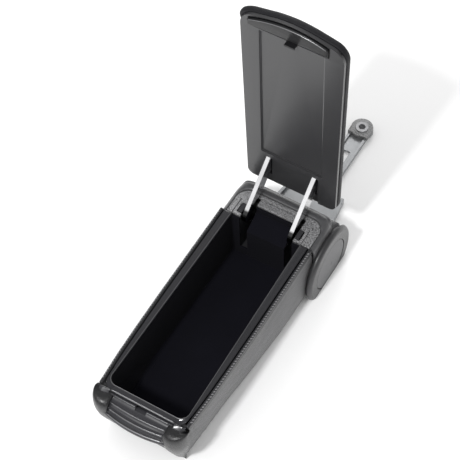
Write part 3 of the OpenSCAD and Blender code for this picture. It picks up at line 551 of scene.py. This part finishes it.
def cut(piece: Piece, shape: Shape) -> None:
    """Cuts a shape out of a piece and keeps the sharp edges sharp.

    Args:
        piece: Closed piece to cut.
        shape: Closed shape to take away.
    """
    tool = shape.piece("cutter")
    weld = piece.modifiers.new("weld", "WELD")
    weld.merge_threshold = 0.00001
    take = piece.modifiers.new("take", "BOOLEAN")
    take.operation, take.solver, take.object = "DIFFERENCE", "EXACT", tool
    settle(piece)
    bpy.data.objects.remove(tool)
    piece.data.set_sharp_from_angle(angle=math.radians(20.0))
    flat = piece.modifiers.new("flat", "WEIGHTED_NORMAL")
    flat.weight, flat.keep_sharp = 100, True
    settle(piece)


def shift(piece: Piece, move: Callable[[Vector, Vector], Vector]) -> None:
    """Moves each vertex of a piece by a rule.

    Args:
        piece: Object to move the vertices of.
        move: Gives the move for a vertex's place and normal, in millimetres.
    """
    mesh = piece.data
    normals = [v.normal.copy() for v in mesh.vertices]
    for vertex, normal in zip(mesh.vertices, normals):
        vertex.co += move(vertex.co / MM, normal) * MM
    mesh.update()


def seat(piece: Piece, body: str, finish: Finish, nodes: Iterable[str] = ()) -> None:
    """Dresses a piece, ties it to its body, hides the carried nodes it stands for, and reports it.

    Args:
        piece: Finished object.
        body: Body that it rides on.
        finish: Its finish.
        nodes: Carried nodes that it stands for.
    """
    finish.dress(piece)
    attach(piece, body)
    if nodes:
        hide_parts(*nodes)
    log.info("%s: %d faces on %s", piece.name, len(piece.data.polygons), body)


def arc(centre: Flat, radius: float, start: float, end: float, steps: int) -> list[Flat]:
    """Points of a flat arc, with its angles in degrees."""
    turns = [math.radians(start + (end - start) * i / steps) for i in range(steps + 1)]
    return [(centre[0] + radius * math.cos(a), centre[1] + radius * math.sin(a)) for a in turns]


def smooth_step(low: float, high: float, value: float) -> float:
    """Rises smoothly from 0 at low to 1 at high."""
    t = min(1.0, max(0.0, (value - low) / (high - low)))
    return t * t * (3.0 - 2.0 * t)


def ridge(value: float, centre: float, width: float) -> float:
    """A smooth bump of height 1 at centre."""
    return math.exp(-((value - centre) / width) ** 2)


# Sub-assemblies


@dataclass
class Lid:
    """Padded lid: leather edge with its seam, and crowned pad. It is drawn closed, then swung open."""

    length: float = 289.5
    rear_y: float = -18.5
    rear_half: float = 58.5
    front_half: float = 62.5
    bow_radius: float = 118.0
    level: float = 80.8
    edge: float = 14.0
    height: float = 24.0
    hinge_y: float = 10.2
    hinge_z: float = 51.7
    seam_in: float = 3.4
    rear_corner: float = 9.0
    front_corner: float = 20.0
    corner_back: float = 7.0
    bow_reach: float = 30.0
    voxel: float = 4.5
    swell_cap: float = 2.0
    swell_force: float = 4.0
    swell_frames: int = 20
    flare_z: float = 353.0

    def outline(self, inset: float) -> list[Flat]:
        """Plan of the lid, inset from its edge.

        Args:
            inset: Distance in from the edge.

        Returns:
            Points around the plan.
        """
        rear_r = max(self.rear_corner - inset / 2, 2.0)
        front_r = self.front_corner - inset / 2
        front_y = self.rear_y - self.length
        rx, fx, ry = self.rear_half - inset, self.front_half - inset, self.rear_y - inset
        reach = min(self.bow_reach, fx - front_r * 1.15)
        bow = [reach * t for t in (0.0, 0.2, 0.4, 0.6, 0.8, 1.0)]
        right = [(x, front_y + inset + x ** 2 / (2 * self.bow_radius)) for x in bow]
        right += arc((fx - front_r, front_y + self.corner_back + inset + front_r), front_r, -75, 0, 14)
        steps = 30
        first, last = right[-1], (rx, ry - rear_r)
        right += [
            (first[0] + (last[0] - first[0]) * i / steps, first[1] + (last[1] - first[1]) * i / steps)
            for i in range(1, steps)
        ]
        right += arc((rx - rear_r, ry - rear_r), rear_r, 0, 90, 8)
        right += [(rx * t, ry) for t in (0.75, 0.5, 0.25, 0.0)]
        return right + [(-x, y) for x, y in reversed(right[1:-1])]

    def opened(self, x: float, y: float, z: float) -> Point:
        """Place of a closed lid's point once the lid stands open."""
        return (x, self.hinge_y + z - self.hinge_z, self.hinge_z - (y - self.hinge_y))

    def rings(self, section: Sequence[Flat]) -> list[list[Point]]:
        """Rings of a section carried around the lid.

        Args:
            section: Points as (inset, height above the lid's face).

        Returns:
            One ring for each point of the section.
        """
        return [[self.opened(x, y, self.level + h) for x, y in self.outline(inset)] for inset, h in section]

    def build(self) -> None:
        """Builds the lid's leather edge up to its seam, and its pad."""
        edge = [
            (6.0, 5.0), (0.9, 4.3), (0.3, 4.9), (-0.1, 6.5), (-0.2, 8.5), (0.0, 10.5), (0.8, 12.3),
            (1.9, 13.4), (self.seam_in - 0.5, 14.0), (self.seam_in + 0.1, 13.2), (self.seam_in + 0.6, 12.2),
            (6.0, 12.0),
        ]
        band = Shape.loft(self.rings(edge), around=True).piece("lid_edge_leather")
        rounder = band.modifiers.new("round", "SUBSURF")
        rounder.levels = rounder.render_levels = 1
        settle(band)
        shift(band, lambda p, n: n * 0.12 * noise.noise(p * 0.09) + self.flare(p))
        seat(band, "lid", LID_LEATHER, ["lid_cushion"])
        self._pad()

    def flare(self, p: Vector) -> Vector:
        """Outward pull of the leather at the lid's upper left corner."""
        share = ridge(p.z, self.flare_z, 10.0) * smooth_step(-40.0, -60.0, p.x)
        return Vector((-3.4, -0.8, 1.2)) * share

    def _pad(self) -> None:
        """Builds the crowned pad and lets it swell under its cover."""
        rise = self.height - self.edge
        start = self.seam_in + 0.6
        section = [(start, 6.5), (start, 12.6), (start + 1.2, 14.2), (start + 4, 16.0)]
        for t in (0.0, 0.3, 0.6, 1.0):
            section.append((9 + 30 * t, self.edge + rise * (0.34 + 0.6 * math.sin(math.pi / 2 * t))))
        pad = Shape.loft(self.rings(section)).piece("lid_pad")
        remesh(pad, self.voxel, 4)
        self._swell(pad)
        rounder = pad.modifiers.new("round", "SUBSURF")
        rounder.levels = rounder.render_levels = 1
        settle(pad)
        shift(pad, lambda p, n: n * 0.25 * noise.noise(p * 0.03) + 0.7 * self.flare(p))
        seat(pad, "lid", LID_LEATHER)

    def _swell(self, pad: Piece) -> None:
        """Swells a pad by cloth pressure and caps how far each point moves.

        Args:
            pad: Closed, evenly meshed pad.
        """
        rest = [v.co.copy() for v in pad.data.vertices]
        cloth = pad.modifiers.new("cloth", "CLOTH")
        cloth.settings.use_pressure = True
        cloth.settings.uniform_pressure_force = self.swell_force
        cloth.settings.effector_weights.gravity = 0.0
        cloth.point_cache.frame_start, cloth.point_cache.frame_end = 1, self.swell_frames
        for step in range(1, self.swell_frames + 1):
            bpy.context.scene.frame_set(step)
        settle(pad)
        bpy.context.scene.frame_set(1)
        for vertex, start in zip(pad.data.vertices, rest):
            move = vertex.co - start
            if move.length > self.swell_cap * MM:
                vertex.co = start + move.normalized() * self.swell_cap * MM


@dataclass
class LatchCover:
    """Bowed cover of the latch flap, standing a little proud of the lid's underside, and its pocket."""

    left: float = -51.0
    right: float = 43.0
    top_z: float = 367.0
    low_z: float = 347.2
    bow_radius: float = 118.0
    back_y: float = 39.6
    proud: float = 2.2
    line_radius: float = 0.5
    pocket_gap: float = 0.8
    pocket_front: float = 38.0
    pocket_floor: float = 43.9

    def top(self, x: float) -> float:
        """Height of the cover's bowed top edge."""
        return self.top_z - x * x / (2 * self.bow_radius)

    def build(self) -> None:
        """Builds the cover with a raised rib along its top, whose bright colour is a painted highlight, and
        the panel with room for its swing.
        """
        self._pocket()
        rings = []
        for i in range(49):
            x = self.left + (self.right - self.left) * i / 48
            top = self.top(x)
            low = self.low_z - x * x / (12.0 * self.bow_radius)
            face = self.back_y - self.proud
            section = [
                (self.back_y, top), (face - 0.2, top - 0.1), (face - 0.9, top - 0.6),
                (face - 1.1, top - 1.3), (face - 0.8, top - 2.1), (face, top - 2.9),
                (face + 0.1, low + 1.6), (face + 0.5, low + 0.5), (self.back_y, low),
            ]
            rings.append([(x, y, z) for y, z in section])
        cover = Shape.loft(rings).piece("latch_cover")
        seat(cover, "latch", FLAP)
        line = [(x, self.back_y - self.proud - 1.0, self.top(x) - 1.2) for x in range(-49, 43, 2)]
        strip = tube(line, self.line_radius, up=(0.0, 1.0, 0.0)).piece("latch_cover_painted_highlight")
        seat(strip, "latch", PAINTED_HIGHLIGHT_BEAD)

    def _pocket(self) -> None:
        """Builds the lid's panel with the shallow pocket that the cover's top swings into."""
        panel = copy_of("lid_panel", "lid_panel_pocketed")
        rings = []
        for i in range(25):
            x = self.left - self.pocket_gap + (self.right - self.left + 2 * self.pocket_gap) * i / 24
            top, low = self.top(x) + 1.0, self.low_z - 2.9
            rings.append([
                (x, self.pocket_front, top), (x, self.pocket_floor, top), (x, 40.2, low + 3.9),
                (x, 39.9, low), (x, self.pocket_front, low),
            ])
        cut(panel, Shape.loft(rings))
        seat(panel, "lid", LID_PLASTIC, ["lid_panel"])


@dataclass
class Box:
    """Trim of the mouth, leather side panels and the stitched rolls along the rim."""

    front_y: float = -276.8
    rear_y: float = -18.8
    half: float = 60.0
    rim_z: float = 80.0
    roll: float = 4.8
    stitch_pitch: float = 3.6
    mouth_y: float = -272.0
    mouth_len: float = 276.0
    mouth_front: float = 48.0
    mouth_rear: float = 44.0
    mouth_corner: float = 10.0
    lip_out: float = 0.9
    lip_radius: float = 0.62
    front_lip_radius: float = 0.75
    corner_drop: float = 2.2
    seam_corner_y: float = -262.0
    seam_corner_z: float = 63.0
    seam_radius: float = 8.0
    seam_width: float = 0.9
    seam_depth: float = 0.6
    fullness: float = 0.5
    full_z: float = 40.0
    full_spread: float = 26.0
    gather: float = 0.16
    gather_pitch: float = 2.9
    thread_radius: float = 0.6

    def narrowing(self, share: float) -> float:
        """How much narrower the rim is at one place than at its widest.

        Args:
            share: Place along the box, from 0 at the front to 1 at the rear.

        Returns:
            The narrowing of one side.
        """
        table = ((0.0, 3.5), (0.15, 1.4), (0.3, 0.5), (0.5, 0.0), (1.0, 0.0))
        for (a, va), (b, vb) in zip(table, table[1:]):
            if share <= b:
                return va + (vb - va) * (share - a) / (b - a)
        return 0.0

    def rim_x(self, y: float, inset: float) -> float:
        """Half width of the rim at y, inset from the leather's face."""
        share = (y - self.front_y) / (self.rear_y - self.front_y)
        return self.half - self.narrowing(share) - inset

    def build(self) -> None:
        """Builds the box's trim and the leather on both sides."""
        self._trim()
        for side in Side:
            self._panel(side)
            self._roll(side)
            self._stitches(side)

    def _trim(self) -> None:
        """Builds the trim with its front corners sloping, and the thin lips along its edges."""
        trim = copy_of("rim_trim", "rim_trim_soft")
        remesh(trim, 0.9, 2)

        def slope(p: Vector, n: Vector) -> Vector:
            """Lowers the front corners.

            Args:
                p: Place of the vertex.
                n: Its normal.

            Returns:
                Its move.
            """
            if n.z < 0.3:
                return Vector((0.0, 0.0, 0.0))
            corner = smooth_step(36.0, 43.0, abs(p.x)) * (1.0 - smooth_step(-277.0, -267.0, p.y))
            return Vector((0.0, 0.0, -self.corner_drop * corner))

        shift(trim, slope)
        seat(trim, "armrest", RIM, ["rim_trim"])
        self._lips()

    def _lips(self) -> None:
        """Lays the thin lip around the mouth and the bright one along the trim's front; their lighter
        colours are painted highlights on the trim's edges.
        """
        front, rear = self.mouth_front + self.lip_out, self.mouth_rear + self.lip_out
        radius = self.mouth_corner + self.lip_out
        path = [(rear, self.mouth_y + self.mouth_len - 1.0)]
        shares = [i / 40 for i in range(1, 40)]
        run = [(rear + (front - rear) * t, self.mouth_y + self.mouth_len * (1 - t)) for t in shares]
        path += [(x, y) for x, y in run if y > self.mouth_y + radius]
        path += arc((front - radius, self.mouth_y - self.lip_out + radius), radius, 0, -90, 14)
        path += [(-x, y) for x, y in reversed(path)]
        lip = tube([(x, y, self.rim_z - 0.15) for x, y in path], self.lip_radius)
        seat(lip.piece("mouth_lip"), "armrest", PAINTED_HIGHLIGHT_LIP)
        edge = [(x, self.front_y - 2.4, self.rim_z - 0.2) for x in range(-40, 41, 2)]
        seat(tube(edge, self.front_lip_radius).piece("trim_front_lip"), "armrest", PAINTED_HIGHLIGHT_BEAD)

    def _panel(self, side: Side) -> None:
        """Builds one soft side panel, with a sewn line along its top and its front.

        Args:
            side: Which side.
        """
        node = f"side_cover_{side.name.lower()}"
        panel = copy_of(node, f"side_leather_{side.name.lower()}")
        remesh(panel, 1.6, 8)

        def relief(p: Vector, n: Vector) -> Vector:
            """Pulls in the sewn line and adds the leather's slow unevenness.

            Args:
                p: Place of the vertex.
                n: Its normal.

            Returns:
                Its move.
            """
            if n.x * side.value < 0.2 and n.z > -0.5:
                return Vector((0.0, 0.0, 0.0))
            ahead = p.y - self.seam_corner_y
            below = max(0.0, self.seam_corner_z - p.z)
            seam = smooth_step(40.0, 50.0, p.z) if ahead < 0.0 else 0.0
            seam *= ridge(math.hypot(below, ahead), self.seam_radius, self.seam_width)
            ends = smooth_step(-276.0, -240.0, p.y) * (1.0 - smooth_step(-50.0, -24.0, p.y))
            full = ridge(p.z, self.full_z, self.full_spread) * ends
            return n * (self.fullness * full - self.seam_depth * seam + 0.1 * noise.noise(p * 0.04))

        shift(panel, relief)
        seat(panel, "armrest", SIDE_LEATHER, [node])

    def _roll(self, side: Side) -> None:
        """Builds the gathered leather roll on one side of the rim.

        Args:
            side: Which side.
        """
        rings = []
        radius = self.roll / 2
        steps = int((self.rear_y - self.front_y) / 0.8)
        for i in range(steps + 1):
            y = self.front_y + (self.rear_y - self.front_y) * i / steps
            gather = self.gather * math.sin(2 * math.pi * y / self.gather_pitch)
            gather += 0.12 * noise.noise(Vector((y * 0.9, 3.0 * side.value, 0.0)))
            x = self.rim_x(y, radius)
            top = self.rim_z + 0.3 - radius
            ring = [(cx, cz) for cx, cz in arc((x, top), radius - 0.15 + gather, 180, 0, 12)]
            ring += [(x + radius - 0.2, top - 2.4), (x - radius + 0.2, top - 2.4)]
            rings.append([(side.value * px, y, pz) for px, pz in ring])
        roll = Shape.loft(rings).piece(f"rim_roll_{side.name.lower()}")
        seat(roll, "armrest", LEATHER, [f"rim_welt_{side.name.lower()}"])

    def _stitches(self, side: Side) -> None:
        """Lays a row of slanted stitches over the outer flank of one roll.

        Args:
            side: Which side.
        """
        row = Shape([], [])
        y = self.front_y + 6.0
        while y < self.rear_y - 4.0:
            x = self.rim_x(y, self.roll / 2)
            start, end = (x + 0.1, y, self.rim_z + 0.3), (x + 1.8, y + 2.0, self.rim_z - 0.3)
            row.add(thread(start, end, self.thread_radius, side))
            y += self.stitch_pitch
        seat(row.piece(f"rim_stitches_{side.name.lower()}"), "armrest", THREAD)


def tube(path: Sequence[Point], radius: float, sides: int = 10, up: Point = UPWARD) -> Shape:
    """Round tube along a path.

    Args:
        path: Points of its centre line.
        radius: Radius of the tube.
        sides: Points around it.
        up: Direction square to the path's plane.

    Returns:
        The tube with closed ends.
    """
    rings = []
    for i, place in enumerate(path):
        before, after = Vector(path[max(0, i - 1)]), Vector(path[min(len(path) - 1, i + 1)])
        along = (after - before).normalized()
        across = along.cross(Vector(up)).normalized()
        rings.append([
            tuple(Vector(place) + (across * math.cos(t) + Vector(up) * math.sin(t)) * radius)
            for t in (2 * math.pi * k / sides for k in range(sides))
        ])
    return Shape.loft(rings)


def thread(start: Point, end: Point, radius: float, side: Side) -> Shape:
    """One stitch between two places, mirrored to its side.

    Args:
        start: First end, on the right side.
        end: Second end, on the right side.
        radius: Radius of the thread.
        side: Which side the stitch is for.

    Returns:
        The stitch as a small spindle.
    """
    a, b = Vector(start), Vector(end)
    along = (b - a).normalized()
    across = along.cross(Vector(UPWARD)).normalized()
    up = across.cross(along)
    rings = []
    for t, share in ((0.0, 0.35), (0.15, 0.85), (0.5, 1.0), (0.85, 0.85), (1.0, 0.35)):
        centre = a + (b - a) * t
        ring = []
        for k in range(6):
            turn = math.pi * k / 3
            p = centre + (across * math.cos(turn) + up * math.sin(turn)) * radius * share
            ring.append((side.value * p.x, p.y, p.z))
        rings.append(ring)
    return Shape.loft(rings)


@dataclass
class RearEnd:
    """Leather over the drum with its roll around the deck, and the grained deck itself."""

    left: float = 58.5
    right: float = 63.0
    roll: float = 6.5
    deck_rear: float = 19.0
    corner: float = 16.0
    top_z: float = 80.0
    roll_rise: float = 0.7
    roll_centre: float = 5.2
    roll_spread: float = 4.4
    crease_depth: float = 0.7
    crease_out: float = 12.2
    bead_rise: float = 0.4
    bead_fall: float = 0.85
    bead_scale: float = 0.55

    def from_deck(self, x: float, y: float) -> float:
        """Distance outside the deck's outline, in plan.

        Args:
            x: Place across.
            y: Place along.

        Returns:
            The distance, negative inside the deck.
        """
        half = (self.left + self.right) / 2 - self.roll
        centre = (self.right - self.left) / 2
        dx, dy = abs(x - centre) - (half - self.corner), y - (self.deck_rear - self.corner)
        if dx > 0 and dy > 0:
            return math.hypot(dx, dy) - self.corner
        return max(dx, dy) - self.corner

    def build(self) -> None:
        """Builds the leather wrap and the deck."""
        wrap = copy_of("rear_cover", "rear_leather_painted_sheen")
        remesh(wrap, 1.5, 7)

        def relief(p: Vector, n: Vector) -> Vector:
            """Rounds up the roll, creases the leather behind it and adds slow unevenness.

            Args:
                p: Place of the vertex.
                n: Its normal.

            Returns:
                Its move.
            """
            if p.z < 50 and p.y < 20:
                return n * 0.1 * noise.noise(p * 0.05)
            out = self.from_deck(p.x, p.y)
            facing = smooth_step(0.0, 0.5, n.z)
            roll = self.roll_rise * ridge(out, self.roll_centre, self.roll_spread)
            roll -= self.crease_depth * ridge(out, self.crease_out, 1.1)
            return n * (facing * roll + 0.15 * noise.noise(p * 0.06))

        shift(wrap, relief)
        # The wrap's lighter colour is painted sheen.
        seat(wrap, "armrest", REAR_LEATHER_PAINTED_SHEEN, ["rear_cover"])
        self._deck()

    def _deck(self) -> None:
        """Builds the deck with its pebbled top as real relief."""
        deck = copy_of("rear_deck", "pebbled_deck")
        remesh(deck, 0.6, 0)

        def pebbles(p: Vector, n: Vector) -> Vector:
            """Raises round beads on the flat top.

            Args:
                p: Place of the vertex.
                n: Its normal.

            Returns:
                Its move.
            """
            if n.z < 0.8 or p.z < self.top_z - 0.8:
                return Vector((0.0, 0.0, 0.0))
            near = noise.voronoi(Vector((p.x, p.y, 0.0)) * self.bead_scale)[0][0]
            return Vector((0.0, 0.0, self.bead_rise - self.bead_fall * near))

        shift(deck, pebbles)
        seat(deck, "armrest", INSERT, ["rear_deck"])


@dataclass
class Nose:
    """Ribbed grip between two round cheeks at the front of the box."""

    trim_y: float = -280.0
    rib_half: float = 41.8
    rib_radius: float = 0.9
    lip_radius: float = 1.1
    chin_radius: float = 3.1
    bow: float = 6.0
    cheek_half: float = 58.5
    cheek_r: float = 16.0
    cheek_out: float = 19.0
    back_y: float = -277.1
    under_trim: float = 76.6
    inner: float = 7.0
    tuck: float = 9.5
    notch_half: float = 6.7
    notch_front: float = -284.7
    notch_rear: float = -277.0
    notch_floor: float = 72.9
    slope_in: float = 40.6
    slope_wide: float = 13.0
    slope_round: float = 2.6
    slope_lean: float = 0.09
    bead_short: float = 8.5
    bead_radius: float = 0.62
    lip_bead_radius: float = 0.8

    def ribs(self) -> list[Flat]:
        """Rib edges as (distance in front of the trim, height)."""
        return [(1.4, 77.0), (7.8, 73.0), (12.0, 68.0), (15.5, 62.0)]

    def section(self) -> list[Flat]:
        """Section of the ribs, from the back edge down to the chin.

        Returns:
            Points as (distance in front of the trim, height).
        """
        edges = self.ribs()
        points: list[Flat] = [(-2.8, 70.0), (-0.3, 70.0), (-0.3, self.under_trim)]
        for (px, pz), (qx, qz) in zip(edges, edges[1:]):
            points += arc((px, pz - self.rib_radius), self.rib_radius, 115, 5, 9)
            for t, dip in ((0.22, 1.5), (0.45, 1.9), (0.7, 1.6), (0.88, 0.7)):
                points.append((px + (qx - px) * t - dip * 0.55, pz + (qz - pz) * t - dip * 0.75))
        lip_x, lip_z = edges[-1]
        points += arc((lip_x, lip_z - self.lip_radius), self.lip_radius, 125, 15, 10)
        points += arc((lip_x - 1.0, lip_z - 3.2), self.chin_radius, 35, -45, 8)
        points += [(lip_x - 5.0, lip_z - 12), (lip_x * 0.2, lip_z - 25), (-0.6, lip_z - 38)]
        return points + [(-0.8, 4.0), (-2.8, 4.0)]

    def bowed(self, x: float, out: float) -> float:
        """Place along of a point that stands in front of the trim, with the lip's bow.

        Args:
            x: Place across.
            out: Distance in front of the trim at the cheeks.

        Returns:
            The place along.
        """
        lip = self.ribs()[-1][0]
        curve = 1 - (x / self.rib_half) ** 2
        return self.trim_y - out - self.bow * min(1.0, max(0.0, out / lip)) * curve

    def build(self) -> None:
        """Builds the ribbed middle with the claw's notch, the two cheeks and the beads."""
        section = self.section()
        stations = 60
        rings = []
        for i in range(stations + 1):
            x = self.rib_half * (2 * i / stations - 1)
            rings.append([(x, self.bowed(x, out), z) for out, z in section])
        middle = Shape.loft(rings).piece("nose_ribs")
        half, front, rear = self.notch_half, self.notch_front, self.notch_rear
        notch = [(-half, front), (half, front), (half, rear), (-half, rear)]
        cut(middle, Shape.loft([[(x, y, z) for x, y in notch] for z in (self.notch_floor, 84.0)]))
        seat(middle, "armrest", NOSE, ["front_nose"])
        for side in Side:
            self._cheek(side)
        for number, (out, z) in enumerate(self.ribs(), start=1):
            self._bead(number, out + 0.35, z - 0.35)

    def _bead(self, number: int, out: float, z: float) -> None:
        """Lays a thin bead along one rib's edge, whose bright colour is a painted highlight.

        Args:
            number: Number of the rib, from the top.
            out: Distance of the edge in front of the trim.
            z: Height of the edge.
        """
        end = self.rib_half - self.bead_short
        start = self.notch_half + 0.7
        radius = self.lip_bead_radius if number == len(self.ribs()) else self.bead_radius
        bead = Shape([], [])
        for first, last in ((-end, -start), (start, end)) if number == 1 else ((-end, end),):
            places = [first + (last - first) * i / 60 for i in range(61)]
            bead.add(tube([(x, self.bowed(x, out), z) for x in places], radius))
        seat(bead.piece(f"rib_bead_{number}"), "armrest", PAINTED_HIGHLIGHT_BEAD)

    def _cheek(self, side: Side) -> None:
        """Builds one cheek as a soft, rounded block.

        Args:
            side: Which side.
        """
        r = self.cheek_r
        cx, cy = self.cheek_half - r, self.trim_y - self.cheek_out + r
        levels = [
            (77.3, r - 8.6, 2.2), (77.1, r - 6.6, 1.6), (76.5, r - 4.8, 1.1), (75.4, r - 3.1, 0.6),
            (73.7, r - 1.8, 0.2), (71.0, r - 0.7, 0.0), (67.0, r - 0.1, 0.0), (60.0, r, 0.0),
            (54.0, r - 0.1, 0.6), (46.0, r - 0.5, 1.8), (34.0, r - 2.2, 4.4), (20.0, r - 4.4, 7.6),
            (9.0, r - 6.4, 9.8), (3.6, r - 8.2, 11.2), (1.0, r - 10.0, 11.4),
        ]
        rings = []
        for z, radius, back in levels:
            centre = (cx + r - radius - self.tuck * smooth_step(60.0, 0.0, z), cy + back)
            ring = []
            for x, y in arc(centre, radius, 0, 360, 56)[:-1]:
                x, y = max(x, self.rib_half - self.inner), min(y, self.back_y)
                top = self.under_trim if y > self.trim_y - 0.3 else z
                ring.append((side.value * x, y, min(z, top)))
            rings.append(ring)
        cheek = Shape.loft(rings).piece(f"nose_cheek_{side.name.lower()}")
        seat(cheek, "armrest", CHEEK)
        self._corner(side)

    def _corner(self, side: Side) -> None:
        """Builds the polished slope from the trim's corner down to the cheek.

        Args:
            side: Which side.
        """
        upper = [(-279.0, 79.8), (-280.1, 79.7)]
        slope = [(-280.8, 79.3), (-285.0, 76.4), (-286.0, 75.3)]
        rings = []
        for i in range(17):
            x = side.value * (self.slope_in + self.slope_wide * i / 16)
            back = self.slope_round * smooth_step(49.0, 54.0, abs(x))
            lean = self.slope_lean * (x - side.value * 47.0)
            ring = [(x, y + (back if y < self.trim_y else 0.0), z) for y, z in upper]
            ring += [(x, y + back, z - lean) for y, z in slope]
            ring += [(x, -286.2 + back, 73.6), (x, -279.0, 73.6)]
            rings.append(ring)
        slopes = Shape.loft(rings).piece(f"trim_corner_{side.name.lower()}")
        seat(slopes, "armrest", CORNER)


# Studio


@dataclass(frozen=True)
class Lamp:
    """One square soft lamp, in metres and watts.

    Args:
        name: Name of the lamp.
        place: Its place.
        aim: Where it points.
        size: Its width.
        power: Its power.
    """

    name: str
    place: Point
    aim: Point
    size: float
    power: float

    def build(self) -> None:
        """Adds the lamp to the scene."""
        data = bpy.data.lights.new(self.name, "AREA")
        data.shape, data.size, data.energy = "SQUARE", self.size, self.power
        lamp = bpy.data.objects.new(self.name, data)
        lamp.location = self.place
        lamp.rotation_euler = (Vector(self.place) - Vector(self.aim)).to_track_quat("Z", "Y").to_euler()
        bpy.context.scene.collection.objects.link(lamp)


@dataclass
class Studio:
    """Pale floor, soft lamps and the camera at the photograph's angle."""

    azimuth: float = 31.887
    elevation: float = 55.505
    distance: float = 1935.0
    roll: float = -0.0314
    lens: float = 132.84
    offset: Flat = (-0.0435, -0.0435)
    target: Point = (-28.29, -5.76, 80.0)
    fill: float = 0.85
    mirrored: float = 0.22
    floor_half: float = 6000.0
    lamps: tuple[Lamp, ...] = (
        Lamp("key", (-0.12, -1.75, 2.5), (0.0, -0.05, 0.1), 0.26, 50.0),
        Lamp("front_card", (-0.62, -1.55, 1.35), (0.0, -0.05, 0.1), 0.8, 1.7),
        Lamp("rear_card", (-0.62, 1.65, 1.1), (0.0, 0.0, 0.08), 0.8, 12.0),
    )

    def camera(self) -> None:
        """Places the camera and makes it the scene's own."""
        a, e = math.radians(self.azimuth), math.radians(self.elevation)
        back = Vector((math.sin(a) * math.cos(e), -math.cos(a) * math.cos(e), math.sin(e)))
        data = bpy.data.cameras.new("view")
        data.lens, data.sensor_width = self.lens, 36.0
        data.shift_x, data.shift_y = self.offset
        data.clip_start, data.clip_end = 0.05, 50.0
        eye = bpy.data.objects.new("view", data)
        eye.rotation_euler = back.to_track_quat("Z", "Y").to_euler()
        eye.rotation_euler.rotate_axis("Z", self.roll)
        eye.location = (Vector(self.target) + back * self.distance) * MM
        bpy.context.scene.collection.objects.link(eye)
        bpy.context.scene.camera = eye

    def floor(self) -> None:
        """Lays a plain pale floor."""
        half = self.floor_half
        plan = [(-half, -half, 0.0), (half, -half, 0.0), (half, half, 0.0), (-half, half, 0.0)]
        floor = Shape(plan, [(0, 1, 2, 3)]).piece("floor")
        FLOOR.dress(floor)

    def world(self) -> None:
        """Lights the scene evenly and shows white behind it."""
        world = bpy.data.worlds.new("studio")
        bpy.context.scene.world = world
        world.use_nodes = True
        tree = world.node_tree
        tree.nodes.clear()
        path = tree.nodes.new("ShaderNodeLightPath")
        surface = self._background(tree, self.fill)
        seen = (("Is Glossy Ray", self.mirrored), ("Is Camera Ray", 1.0), ("Is Transmission Ray", 1.0))
        for ray, strength in seen:
            mix = tree.nodes.new("ShaderNodeMixShader")
            tree.links.new(path.outputs[ray], mix.inputs["Fac"])
            tree.links.new(surface, mix.inputs[1])
            tree.links.new(self._background(tree, strength), mix.inputs[2])
            surface = mix.outputs[0]
        tree.links.new(surface, tree.nodes.new("ShaderNodeOutputWorld").inputs["Surface"])

    @staticmethod
    def _background(tree: Tree, strength: float) -> Socket:
        """Adds a white background.

        Args:
            tree: Node tree of the world.
            strength: Its strength.

        Returns:
            The socket with its light.
        """
        node = tree.nodes.new("ShaderNodeBackground")
        node.inputs["Color"].default_value = (1.0, 1.0, 1.0, 1.0)
        node.inputs["Strength"].default_value = strength
        return node.outputs[0]

    def build(self) -> None:
        """Builds the whole studio."""
        bpy.context.scene.view_settings.view_transform = "Standard"
        self.camera()
        self.floor()
        self.world()
        for lamp in self.lamps:
            lamp.build()


def main() -> None:
    """Dresses the carried nodes, builds the soft and detailed pieces and sets up the studio."""
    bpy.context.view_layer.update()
    for node, finish in CARRIED.items():
        finish.dress(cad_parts[node])
        log.info("%s: %s", node, finish.name)
    Studio().build()
    for part in (Box(), RearEnd(), Nose(), Lid(), LatchCover()):
        part.build()


if __name__ == "__main__":
    main()
